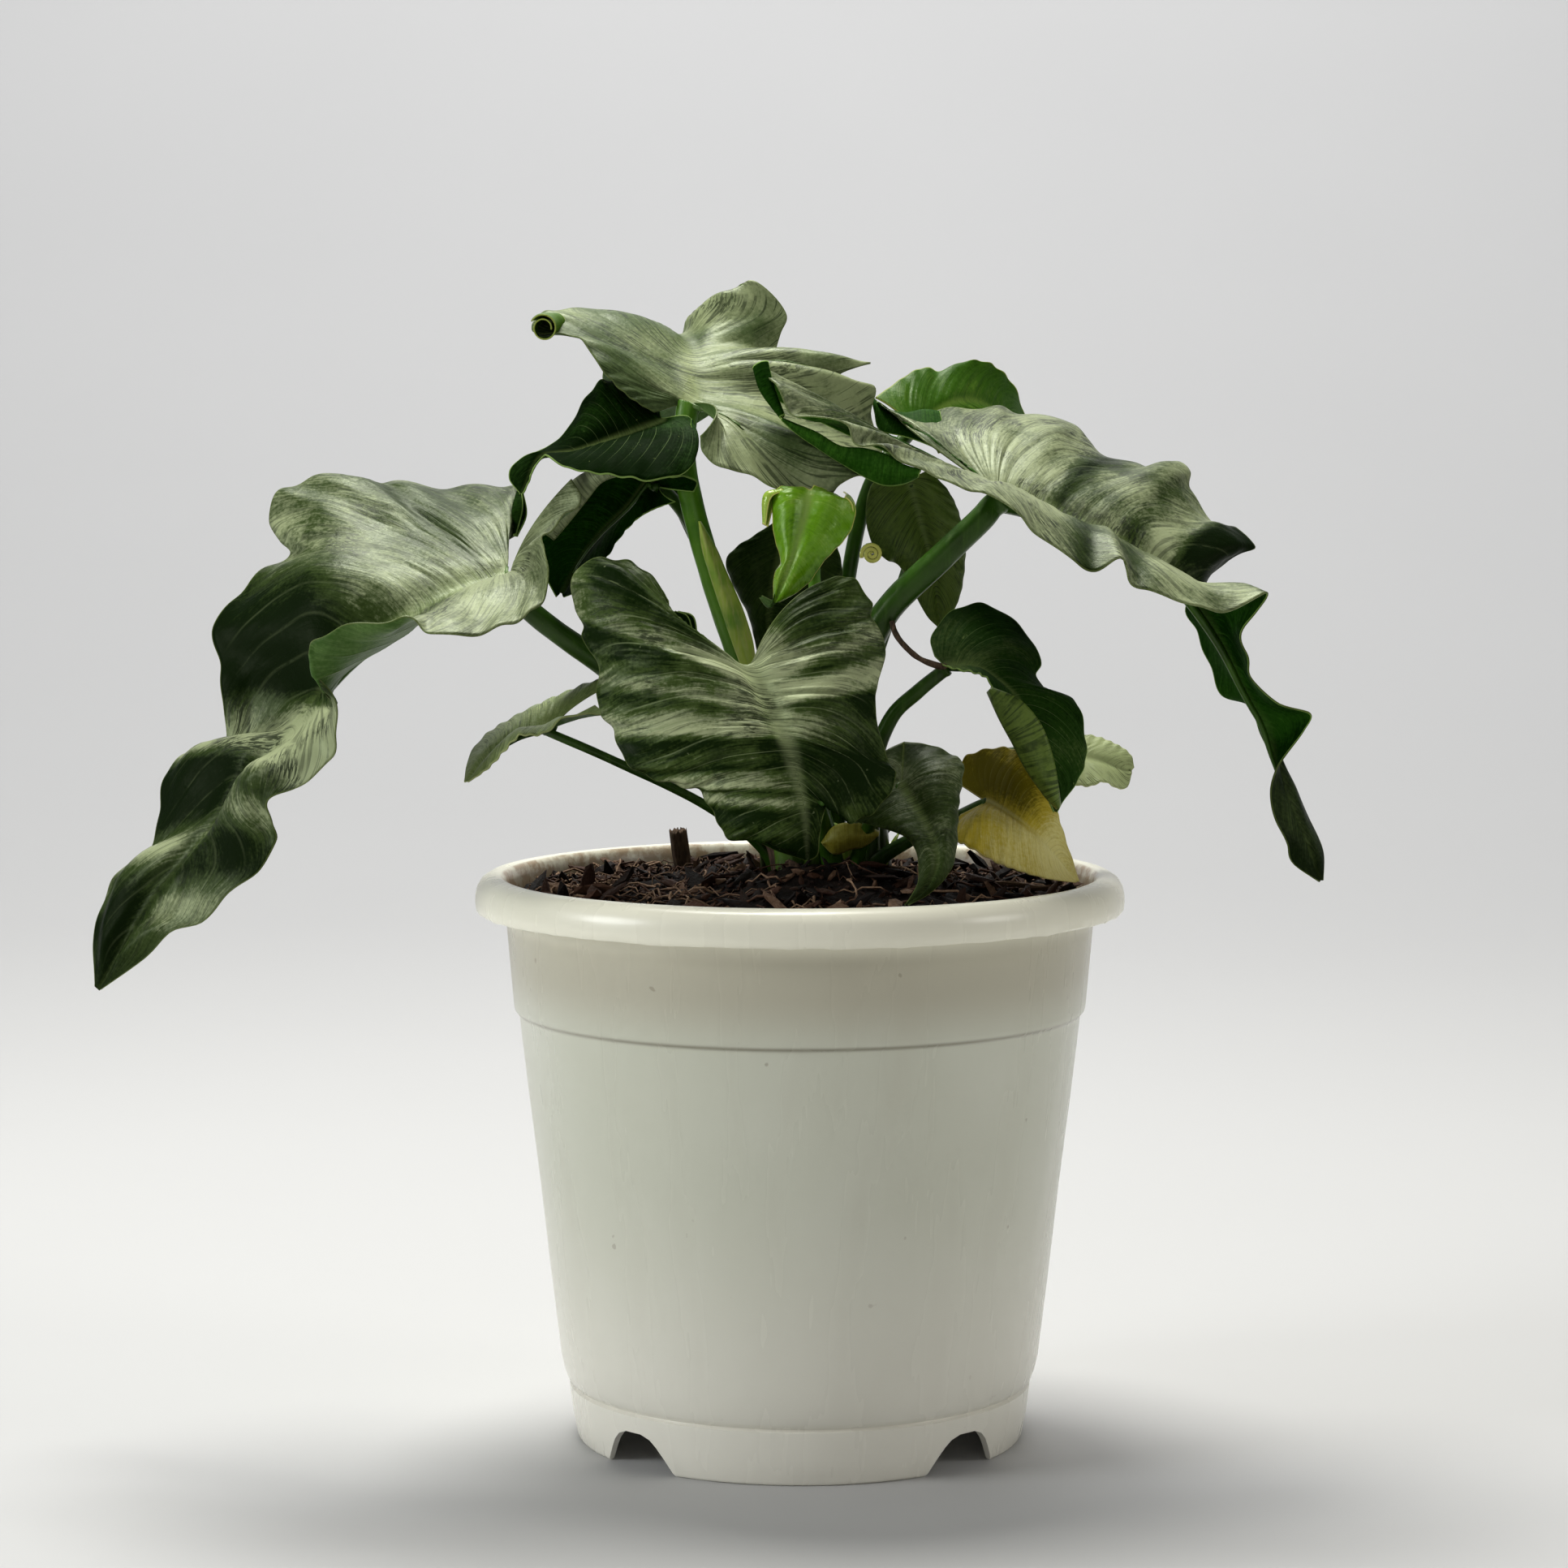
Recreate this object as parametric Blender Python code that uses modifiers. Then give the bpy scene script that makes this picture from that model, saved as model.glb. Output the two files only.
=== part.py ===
# A young philodendron in a plastic nursery pot, as separate solids.
# Points of the plant are in millimetres from the pot's axis at table height:
# +X to the viewer's right, +Y away from the viewer, +Z up.

import math

import bmesh
import bpy
import numpy as np
from mathutils import Vector

MM = 0.001
GAP = 0.3  # clearance between pieces that touch, in mm
OBJECT_NAME = "potted_philodendron"

# Pot, in mm
POT_HEIGHT = 175.5
RIM_RADIUS = 100.0
MOUTH_RADIUS = 91.7
LIP_DROP = 11.5  # height of the rolled rim
WALL = 1.8
BAND_Z = 133.1  # step under the upper band
BAND_RADIUS = 88.0
BODY_TOP_RADIUS = 86.7
SHOULDER_Z = 30.0
SHOULDER_RADIUS = 74.6
SEAM_Z = 17.5  # groove above the foot ring
SEAM_RADIUS = 71.7
FOOT_RADIUS = 68.9
FLOOR_Z = 13.5  # underside of the raised floor
FLOOR_THICKNESS = 2.2
FOOT_ARCHES = 4
ARCH_HALF_WIDTH = 14.5
ARCH_HEIGHT = 11.8
DRAIN_HOLES = 6
DRAIN_RADIUS = 4.0
DRAIN_CIRCLE = 46.0
POT_STEPS = 48

# Soil and crown, in mm
SOIL_EDGE_Z = 168.0
SOIL_TOP_Z = 171.0
CROWN_X = 8.0
CROWN_RADIUS = 9.0
CROWN_HEIGHT = 20.0

# Leaves and stalks, in mm
BLADE_THICKNESS = 1.0
STALK_RING = 15.0  # stalk bases stand on this circle round the crown
STALK_FOOT_Z = 172.4

# A blade is five curves read at the same row number, 0 at the sinus and 20 at the tip:
# (row, x, y, z) down the midrib and round the left and right margins, and how far the
# middle of each half stands off the straight line from midrib to margin.
LAST_ROW = 20.0

LEAVES = {
    "leaf_left": dict(
        rows=26,
        midrib=[(0, -89, -8, 266), (5, -91, -9, 266), (8, -103, -12, 263), (10, -117, -16, 257),
                (12, -136, -20, 243), (14, -152, -22, 225), (16, -169, -22, 204),
                (18, -188, -20, 182), (19, -201, -18, 166), (20, -215, -15, 141)],
        left=[(0, -69, -22, 297), (1, -66, -24, 291), (2, -71, -28, 286), (3, -77, -32, 280),
              (3.7, -77, -36, 277), (4.4, -75, -40, 270), (5, -76, -46, 263),
              (5.6, -79, -50, 259), (6.3, -84, -54, 256), (7, -93, -58, 253),
              (7.8, -101, -60, 252), (8.5, -109, -60, 253), (9.2, -114, -58, 257),
              (10, -124, -58, 256), (10.8, -136, -56, 254), (11.5, -144, -54, 249),
              (12.2, -144, -52, 242), (13, -139, -52, 235), (13.8, -137, -52, 226),
              (14.6, -139, -50, 216), (15.3, -146, -48, 208), (16, -156, -46, 204),
              (16.5, -159, -44, 200), (17, -158, -44, 195), (17.4, -156, -44, 190),
              (18, -162, -42, 181), (18.6, -172, -38, 173), (19, -180, -34, 164),
              (19.3, -190, -30, 161), (19.6, -199, -24, 152), (20, -214, -15.5, 141)],
        right=[(0, -88, 20, 279), (1, -86, 28, 284), (2, -88, 36, 292), (3, -97, 42, 294),
               (4, -112, 46, 293), (5, -129, 46, 295), (6, -138, 45, 295),
               (6.5, -145, 44, 298), (7.5, -157, 41, 295), (8.3, -165, 38, 291),
               (9, -167, 33, 283), (9.6, -162, 26, 276), (10, -159, 22, 273),
               (10.7, -167, 20, 268), (11.5, -177, 16, 258), (12, -182, 12, 249),
               (12.8, -179, 6, 238), (13.6, -178, 2, 226), (14.2, -178, 0, 213),
               (14.8, -191, 4, 212), (15.4, -196, 4, 205), (16.2, -198, 0, 194),
               (17, -199, -4, 184), (17.6, -207, -3, 179), (18.3, -214, -4, 169),
               (19.2, -217, -8, 155), (20, -216, -14.5, 142)],
        left_arch=[(0, -3, 0, 0), (4, 0, 0, 3), (8, 0, 0, 3), (10, 0, -8, -9), (12, 0, -8, -9),
                   (14, 0, -4, 2), (20, 0, 0, 0)],
        right_arch=[(0, -5, 0, 0), (3, 0, 0, 3), (12, 0, 2, 4), (20, 0, 0, 0)]),
    "leaf_left_inner": dict(
        rows=18,
        midrib=[(0, -43, -3, 294), (5, -43.6, -3, 294.5), (9, -47, -3, 296), (12, -53, -4, 288),
                (15, -61, -4, 280), (18, -68, -4, 271), (20, -73, -4, 262)],
        left=[(0, -32, -15, 293), (1, -31, -16, 296), (2, -34, -16.5, 297.8), (5, -42, -16, 297.8),
              (8, -49, -15, 300.7), (10, -57, -15, 300), (12, -63, -12, 299),
              (13.5, -68, -8, 296), (15, -72, -6, 289), (16.5, -75, -4, 282),
              (18, -76, -2, 274), (19, -75, -2, 267), (20, -73.6, -3.5, 261)],
        right=[(0, -37.6, -11.4, 290), (2, -41.6, -7, 288.5), (5, -46, 2, 286.5), (8, -50, 6, 284),
               (11, -55, 8, 279), (13, -59, 9, 273.5), (16, -63, 8, 268), (18.5, -69, 4, 262),
               (20, -72.6, -3, 260.5)],
        left_arch=[(0, -2, -2, 0), (6, 0, 0, 2), (20, 0, 0, 0)],
        right_arch=[(0, -1, -1, 0), (10, 0, 2, 2), (20, 0, 0, 0)]),
    "leaf_front": dict(
        rows=26,
        midrib=[(0, -15, -62, 242), (4, -14.5, -63, 241), (8, -8, -70, 230), (11, -3, -75, 221),
                (14, 0, -77, 210), (17, 2, -75, 198), (20, 2, -70, 187)],
        left=[(0, 5, -50, 267), (1, 12, -48, 269), (2, 17, -48, 267), (3, 21, -50, 261),
              (4, 21, -52, 257), (5, 24, -54, 252), (6, 25, -56, 246), (7, 23, -58, 239),
              (8, 22, -60, 233), (9, 23, -62, 224), (10, 26, -62, 215), (11, 28, -62, 211),
              (12, 25, -64, 204), (13, 19, -66, 199), (14, 14, -68, 198), (15, 11, -70, 203),
              (16, 8.5, -72, 205), (17, 6.5, -73, 200), (18.5, 5.5, -72, 193),
              (19.3, 5, -71, 188.5), (20, 2.8, -70, 186.8)],
        right=[(0, -39, -52, 262), (1, -43, -48, 268), (2, -49, -46, 272.5), (3, -56, -46, 274),
               (4, -64, -46, 273), (5, -68, -46, 266), (5.6, -67, -48, 259.5),
               (6.2, -64, -50, 254.5), (6.7, -65, -50, 251), (7.5, -60, -54, 244),
               (8.5, -60, -56, 235), (9.3, -59, -58, 229), (10.2, -55, -60, 224),
               (11, -53, -62, 218), (12, -49, -64, 213), (13.5, -39, -66, 209),
               (15, -30, -68, 207), (16, -26.5, -68, 202), (17, -23.5, -70, 196.5),
               (17.8, -21, -70, 193), (18.6, -14, -71, 192.5), (19.3, -6.5, -71, 189.5),
               (20, 1.2, -70, 186.8)],
        left_arch=[(0, -2, -1, 3), (2, 0, -3, 2), (6, 0, -6, 1), (16, 0, -1, 0), (20, 0, 0, 0)],
        right_arch=[(0, -5, -2, -5), (2, -2, -4, -2), (5, 0, -8, 1), (14, 0, -7, 1), (20, 0, 0, 0)]),
    "leaf_top": dict(
        rows=26,
        midrib=[(0, -34, -5, 320), (6, -34, -5, 320.5), (10, -35, 8, 330), (14, -36, 26, 339),
                (16, -37, 40, 341), (18, -40, 60, 336), (20, -45, 98, 308)],
        left=[(0, -44, -12, 317), (2, -50, -13, 320.5), (3.5, -55, -13, 324.5),
              (5, -60, -12, 330), (6, -64, -8, 336), (7, -68, -4, 340), (8, -74, 0, 341),
              (9, -82, 4, 342), (10, -80, 10, 347), (11, -74, 16, 348.5), (12, -62, 24, 349),
              (13, -53, 30, 347), (14, -47, 38, 344), (15, -50, 48, 340), (16, -60, 58, 334),
              (17.5, -63, 70, 326), (19, -55, 86, 317), (20, -46, 98, 307.6)],
        right=[(0, -30, -28, 310), (1, -29, -30, 305), (2, -24, -32, 301),
               (3, -16, -32, 299), (4, -9, -32, 295.5), (5, 0, -30, 291.8),
               (5.5, 8, -30, 291.8), (6, 12, -28, 295.5), (6.5, 18, -26, 298.5),
               (7, 22, -18, 297), (8, 25, -4, 299), (8.7, 25, 8, 307), (9.3, 22, 12, 316),
               (10, 23, 12, 325), (10.7, 12, 14, 328), (11.3, 22, 16, 332.5),
               (12, 8, 22, 331), (12.8, -5, 24, 330), (13.3, -7.5, 28, 334), (14, -6, 30, 341),
               (14.6, -4, 32, 347), (15.2, -9, 34, 354), (15.8, -16, 36, 358),
               (16.4, -23, 38, 352), (17, -28, 40, 346), (18, -26, 52, 338),
               (19, -20, 66, 330), (19.6, -28, 86, 317), (20, -44.2, 98, 307.6)],
        left_arch=[(0, 0, 0, 0), (8, 0, 0, 3), (14, 0, 0, 2), (20, 0, 0, 0)],
        right_arch=[(0, 7, -3, 3), (1.5, 6, 0, 3), (3, 2, 0, 3), (12, 0, 0, 1),
                    (20, 0, 0, 0)]),
    "leaf_top_lower": dict(
        rows=20,
        midrib=[(0, -42, -8, 315), (4, -44, -9, 314), (8, -55, -14, 309.5),
                (12, -67, -18, 306), (14, -76, -20, 305), (17, -80, -19, 302.5),
                (20, -84, -22, 293)],
        left=[(0, -33, -16, 313), (1, -31, -22, 308), (2, -31, -28, 303.5),
              (3, -34, -34, 299.5), (4, -38, -38, 298), (5, -44, -40, 297), (7, -52, -40, 298),
              (9, -60, -38, 299), (11, -67, -34, 300), (12.5, -72, -28, 301.5),
              (13.5, -76, -23, 304), (14.3, -77.5, -21, 304), (15.5, -80.5, -24, 300),
              (17.5, -81.5, -25, 297), (20, -83.6, -22.6, 292.6)],
        right=[(0, -43, -2, 318), (3, -48, 0, 321), (6, -55, 2, 325), (8, -60, 2, 327),
               (9.5, -64, 0, 323.5), (11, -68, -4, 317), (12, -71, -8, 311.5),
               (13.3, -76, -14, 307), (14.3, -79, -18, 305.5), (15.5, -83, -16, 304),
               (17, -87, -16, 301), (18.5, -88, -18, 297), (20, -84.6, -21.4, 292.6)],
        left_arch=[(0, 3, 0, 2), (3, 4, 0, 3), (8, 0, -3, 2), (14, 0, 0, 0), (20, 0, 0, 0)],
        right_arch=[(0, 0, 0, 0), (8, 0, -4, 0), (14, 0, 0, 0), (20, 0, 0, 0)]),
    "leaf_right": dict(
        rows=30,
        midrib=[(0, 61, -5, 292), (5, 62, -5, 291.8), (8, 79.5, -8, 286), (10, 97, -10, 278),
                (11.5, 111, -11, 269.5), (13, 121, -10, 258.5), (14, 129.5, -8, 247.5),
                (15.2, 136.5, -6, 234.5), (16.4, 142.5, -5, 222.5), (17.5, 147.5, -4, 209.5),
                (18.4, 151.5, -4, 197.5), (19.2, 156.5, -4, 185.5), (20, 160.5, -4, 173.5)],
        left=[(0, 39, 8, 308), (0.7, 30.5, 22, 315), (1.3, 22.5, 30, 321), (2, 32, 36, 316.4),
              (3, 43, 42, 317.4), (4.3, 62, 46, 318.4), (5.3, 73.5, 47, 315.8),
              (6.2, 87, 46, 313.7), (6.8, 91, 42, 307.6), (7.5, 98, 38, 303),
              (8.5, 111, 34, 299.4), (9.3, 119, 32, 301), (9.8, 123, 30, 298.5),
              (10.3, 122, 26, 292.4), (11, 130, 22, 282.3), (11.8, 136, 18, 280.4),
              (12.3, 141.5, 14, 275.5), (12.8, 133, 12, 271.5), (13.2, 126, 12, 264.5),
              (13.7, 120, 14, 256), (14.2, 123.5, 15, 249), (15, 127.5, 14, 239),
              (15.7, 131, 12, 230), (16.3, 139, 8, 226.5), (16.9, 143, 6, 217.5),
              (17.5, 148, 5, 208), (18.2, 153, 5, 202.5), (18.9, 157.5, 4, 191.6),
              (19.5, 162, 2, 181.8), (20, 161.3, -3.4, 173.3)],
        right=[(0, -9, -14, 322), (1, -13, -20, 331), (2, -8, -26, 326), (2.6, -3, -32, 317.6),
               (3, 3, -34, 316.2), (3.6, 13.6, -36, 313.2), (4, 16.5, -37, 308.4),
               (4.4, 23.3, -38, 307.4), (4.9, 29, -38, 302.6), (5.3, 37, -38, 300.7),
               (5.7, 41.7, -39, 297.3), (6.1, 48.5, -40, 294.4), (6.6, 55, -40, 293.9),
               (7.1, 64, -42, 287.2), (7.7, 70.6, -43, 281.4), (8.3, 80, -44, 273.7),
               (8.9, 87, -44, 270.8), (9.4, 95, -42, 273.6), (9.8, 97.7, -42, 267.8),
               (10.4, 102.6, -42, 264.4), (11, 109.4, -42, 263), (11.7, 118, -42, 259.6),
               (12.3, 126, -40, 258), (12.9, 139.3, -34, 263.6), (13.4, 136.8, -30, 257.5),
               (13.9, 133.3, -26, 250.5), (14.6, 135.7, -22, 241.4), (15.3, 138, -18, 235.2),
               (15.9, 145.2, -16, 229.2), (16.3, 155.3, -14, 226), (16.8, 153.6, -12, 220),
               (17.2, 148.9, -10, 212.8), (17.6, 146, -9, 207.8), (18.2, 144, -9, 200.8),
               (18.8, 146, -9, 192.4), (19.3, 149.5, -9, 185), (19.7, 151.5, -8, 179),
               (20, 160, -4.8, 173)],
        left_arch=[(0, 0, 0, 0), (4, 0, 0, 5), (12, 0, 2, 4), (16, 2, 0, 0), (20, 0, 0, 0)],
        right_arch=[(0, 0, -3, -2), (1, 0, -2, 0), (4, 0, 4, 3), (8, 0, 0, 4), (13, 0, 0, 3),
                    (16, 0, 0, 0), (20, 0, 0, 0)]),
    "leaf_back_upper": dict(
        rows=16,
        midrib=[(0, 36, 40, 312), (5, 38, 43, 313), (9, 50, 57, 320), (13, 62, 70, 318),
                (17, 72, 83, 308), (20, 80, 97, 291.4)],
        left=[(0, 24, 44, 321.5), (2, 29, 50, 325), (4, 35, 57, 329), (5.5, 40, 61, 331),
              (7, 45, 65, 330), (9, 53, 70, 333), (11, 60, 75, 333), (13, 65.6, 80, 330),
              (15, 70.4, 86, 324.5), (17, 74.4, 92, 314), (20, 80, 98, 291)],
        right=[(0, 44, 40, 304), (4, 54, 51, 306), (8, 66, 59, 305), (12, 77, 68, 300),
               (16, 84, 80, 294), (20, 80.6, 96.4, 291)],
        left_arch=[(0, 0, 0, 1), (10, 0, 2, 3), (20, 0, 0, 0)],
        right_arch=[(0, 0, 2, 2), (10, 0, 3, 2), (20, 0, 0, 0)]),
    "leaf_back_lower": dict(
        rows=14,
        midrib=[(0, 34, 22, 296), (4, 34.5, 22, 295), (10, 38, 25, 282), (15, 42, 27, 267),
                (20, 44, 26, 250)],
        left=[(0, 40, 22, 299), (3, 46, 24, 293), (7, 50, 27, 285), (11, 52, 29, 275),
              (15, 51, 29, 262), (18, 48, 27, 254), (20, 44.6, 26, 249.6)],
        right=[(0, 28, 18, 299), (2, 22, 17, 294), (5, 20.5, 17, 284), (8, 23, 19, 275),
               (10, 27, 21, 271), (12, 31, 23, 269), (15, 36, 25, 260), (18, 40, 25.5, 253),
               (20, 43.4, 26, 249.6)],
        left_arch=[(0, 0, -1, 0), (10, 0, -3, 0), (20, 0, 0, 0)],
        right_arch=[(0, 0, -1, 0), (10, 0, -3, 0), (20, 0, 0, 0)]),
    "leaf_young": dict(
        rows=18,
        midrib=[(0, 3, -38, 289), (5, 2.5, -38.5, 287.5), (10, -1, -42, 279),
                (14, -4, -43, 271), (17.5, -7, -41, 263), (18.7, -8.5, -39, 260),
                (20, -11.6, -37, 262)],
        left=[(0, 4, -33, 295), (2, 7, -35, 291), (3, 8, -37, 288), (4.5, 12, -38, 286),
              (6, 16.5, -36, 287), (7.5, 15.5, -36, 283), (9, 13, -38, 279),
              (11, 9.5, -40, 275.5), (13, 6, -40, 271.5), (15, 3, -40, 267),
              (17, -2, -40, 263), (18.5, -7, -39, 260.6), (20, -11.4, -36.8, 262.4)],
        right=[(0, -1, -33, 291), (2, -4, -33, 292.5), (3.5, -6, -33, 295), (5, -8.5, -35, 293),
               (7, -8.5, -37, 288), (9, -8, -39, 281), (11, -6.5, -40, 275.5),
               (12.5, -6, -41, 272.5), (14, -7.5, -41, 270), (16, -8.2, -40, 266),
               (17.5, -8.2, -39, 261.5), (18.7, -9.4, -38, 259.2), (20, -12.2, -36.8, 262)],
        left_arch=[(0, 0, 1, 0), (6, 0, -4, 0), (14, 0, -3, 0), (20, 0, 0, 0)],
        right_arch=[(0, 0, 1, 0), (6, 0, -4, 0), (14, 0, -2, 0), (20, 0, 0, 0)]),
    "leaf_middle": dict(
        rows=12,
        midrib=[(0, -3, 12, 281), (4, -4, 12, 279), (12, -10, 10, 256), (20, -8, 8, 226)],
        left=[(0, 2, 12, 284), (3, 9, 13, 280), (7, 13, 13, 270), (11, 12, 12, 258),
              (15, 6, 10, 244), (20, -7.4, 8, 225.6)],
        right=[(0, -8, 12, 283), (2, -14, 13, 279), (4, -20, 14, 275), (6, -23, 14, 270.5),
               (9, -20, 13, 262), (12, -16, 12, 254), (16, -13, 10, 242),
               (20, -8.6, 8, 225.6)],
        left_arch=[(0, 0, -1, 0), (10, 0, -3, 0), (20, 0, 0, 0)],
        right_arch=[(0, 0, -1, 0), (10, 0, -3, 0), (20, 0, 0, 0)]),
    "leaf_low_left": dict(
        rows=14,
        midrib=[(0, -76, -18, 221.5), (5, -77, -18, 221.5), (10, -86, -22, 219),
                (15, -95, -24, 213), (20, -101, -24, 206)],
        left=[(0, -62, -24, 229), (2, -60, -30, 227), (4, -70, -34, 226.5), (6, -76, -36, 222),
              (8, -80, -37, 221), (10, -84, -37, 221), (13, -89, -34, 216),
              (16, -94, -30, 210.5), (20, -100.6, -24.6, 205.6)],
        right=[(0, -60, -16, 233), (2, -57, -16, 236), (4, -63, -12, 235.5), (7, -72, -4, 231.5),
               (10, -81, 4, 227), (13, -90, 2, 222.5), (16, -97, -4, 218),
               (18, -101, -12, 212.5), (20, -101.8, -23.4, 205.6)],
        left_arch=[(0, 0, 0, 0), (10, 0, 0, 2), (20, 0, 0, 0)],
        right_arch=[(0, 0, 0, 1), (10, 0, 0, 2), (20, 0, 0, 0)]),
    "leaf_middle_right": dict(
        rows=18,
        midrib=[(0, 44, -12, 240), (4, 45, -12.5, 239.8), (8, 54, -18, 239.5),
                (11, 62, -22, 235), (14, 67, -24, 227.5), (17, 71, -27, 214),
                (20, 77, -30, 197.5)],
        left=[(0, 41, -8, 243), (1, 40, -2, 247.5), (2, 43, 2, 252.5), (3, 48, 6, 256.5),
              (4.5, 57, 8, 258), (6, 66, 6, 253), (7.5, 72, 2, 246), (8.5, 74, -2, 240),
              (9.5, 72.5, -6, 236.5), (10.5, 76, -8, 231.5), (12, 83, -10, 230),
              (13, 85.5, -12, 226.5), (14.5, 87, -14, 218), (16, 87, -16, 211.5),
              (18, 84, -20, 205), (19.2, 79.5, -25, 199.5), (20, 77.6, -29.6, 197)],
        right=[(0, 43, -16, 241), (3, 47, -24, 240), (6, 53, -28, 239), (9, 57, -30, 236.5),
               (11, 60, -32, 229.5), (13, 64.5, -34, 223), (15, 68.5, -34, 217),
               (16.5, 70.5, -33, 213), (18, 73, -32, 206), (20, 76.4, -30.4, 197)],
        left_arch=[(0, 0, 0, 0), (6, 0, 2, 3), (14, 3, 0, 0), (20, 0, 0, 0)],
        right_arch=[(0, 0, 0, 0), (8, 0, -1, 1), (14, 0, -1, 0), (20, 0, 0, 0)]),
    "leaf_pale_right": dict(
        rows=12,
        midrib=[(0, 75, 8, 211), (5, 77, 8, 211), (12, 89, 12, 210), (20, 103.6, 16, 205.6)],
        left=[(0, 75, 14, 215), (5, 81, 20, 217), (10, 92, 22, 216), (15, 100, 20, 213),
              (18, 103.6, 18, 210), (20, 104.4, 16.6, 206.4)],
        right=[(0, 76, 2, 207), (5, 81, -2, 204), (10, 89, -2, 202.5), (13, 94, 2, 203.5),
               (16, 99, 8, 200.8), (18, 102, 12, 200.8), (20, 103.6, 15.4, 204.8)],
        left_arch=[(0, 0, 0, 1), (20, 0, 0, 0)],
        right_arch=[(0, 0, 0, 1), (20, 0, 0, 0)]),
    "leaf_yellow": dict(
        rows=16,
        midrib=[(0, 56.6, -18, 199), (5, 58, -18.6, 198.8), (9, 63, -21, 196), (13, 70, -22, 191.4),
                (17, 78, -18, 183), (20, 85, -12, 174)],
        left=[(0, 48, -8, 204), (2, 50, -2, 210.5), (4, 55, 0, 213), (6.5, 63, 2, 214),
              (9, 69, 0, 212), (11, 73, -3, 206), (13, 76, -6, 200), (15, 79, -8, 194.5),
              (17, 81, -9, 188), (19, 84, -10, 179), (20, 85.6, -11.6, 173.8)],
        right=[(0, 48.5, -26, 196), (1, 45.6, -32, 192.5), (3, 46, -38, 190), (6, 50, -42, 188), (9, 58, -42, 183.5),
               (13, 66, -38, 180), (17, 75, -28, 176.5), (20, 84.4, -12.6, 173.6)],
        left_arch=[(0, 0, 0, 0), (8, 0, 3, 2), (20, 0, 0, 0)],
        right_arch=[(0, 0, 0, 0), (8, 0, -2, 3), (20, 0, 0, 0)]),
    "leaf_low_front": dict(
        rows=16,
        midrib=[(0, 30, -48, 207), (5, 30.5, -49, 206), (10, 38, -60, 194), (14, 40, -66, 185.5),
                (17, 36.5, -69, 178.5), (20, 31, -70, 174)],
        left=[(0, 31, -38, 219), (2, 39, -38, 218), (4, 45, -40, 215.5), (6, 48.5, -44, 213),
              (8, 48, -48, 207.5), (10, 47, -52, 202), (12, 46.5, -56, 196),
              (14, 46, -60, 189.5), (15.5, 44.5, -64, 184), (17, 41, -67, 179.5),
              (18.5, 36.5, -69, 176), (20, 31.5, -70.4, 173.6)],
        right=[(0, 25, -40, 216), (2, 20, -42, 212), (4, 15, -46, 203), (6, 13, -50, 197),
               (9, 19, -54, 196), (11, 27, -58, 194), (12.5, 31.5, -60, 192),
               (14, 34, -63, 188), (15.5, 34.5, -66, 183), (17, 34, -68, 179.5),
               (20, 30.4, -70.4, 173.6)],
        left_arch=[(0, 0, 0, 0), (8, 0, -3, 2), (20, 0, 0, 0)],
        right_arch=[(0, 0, 0, 0), (8, 0, -2, 1), (20, 0, 0, 0)]),
}

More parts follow.
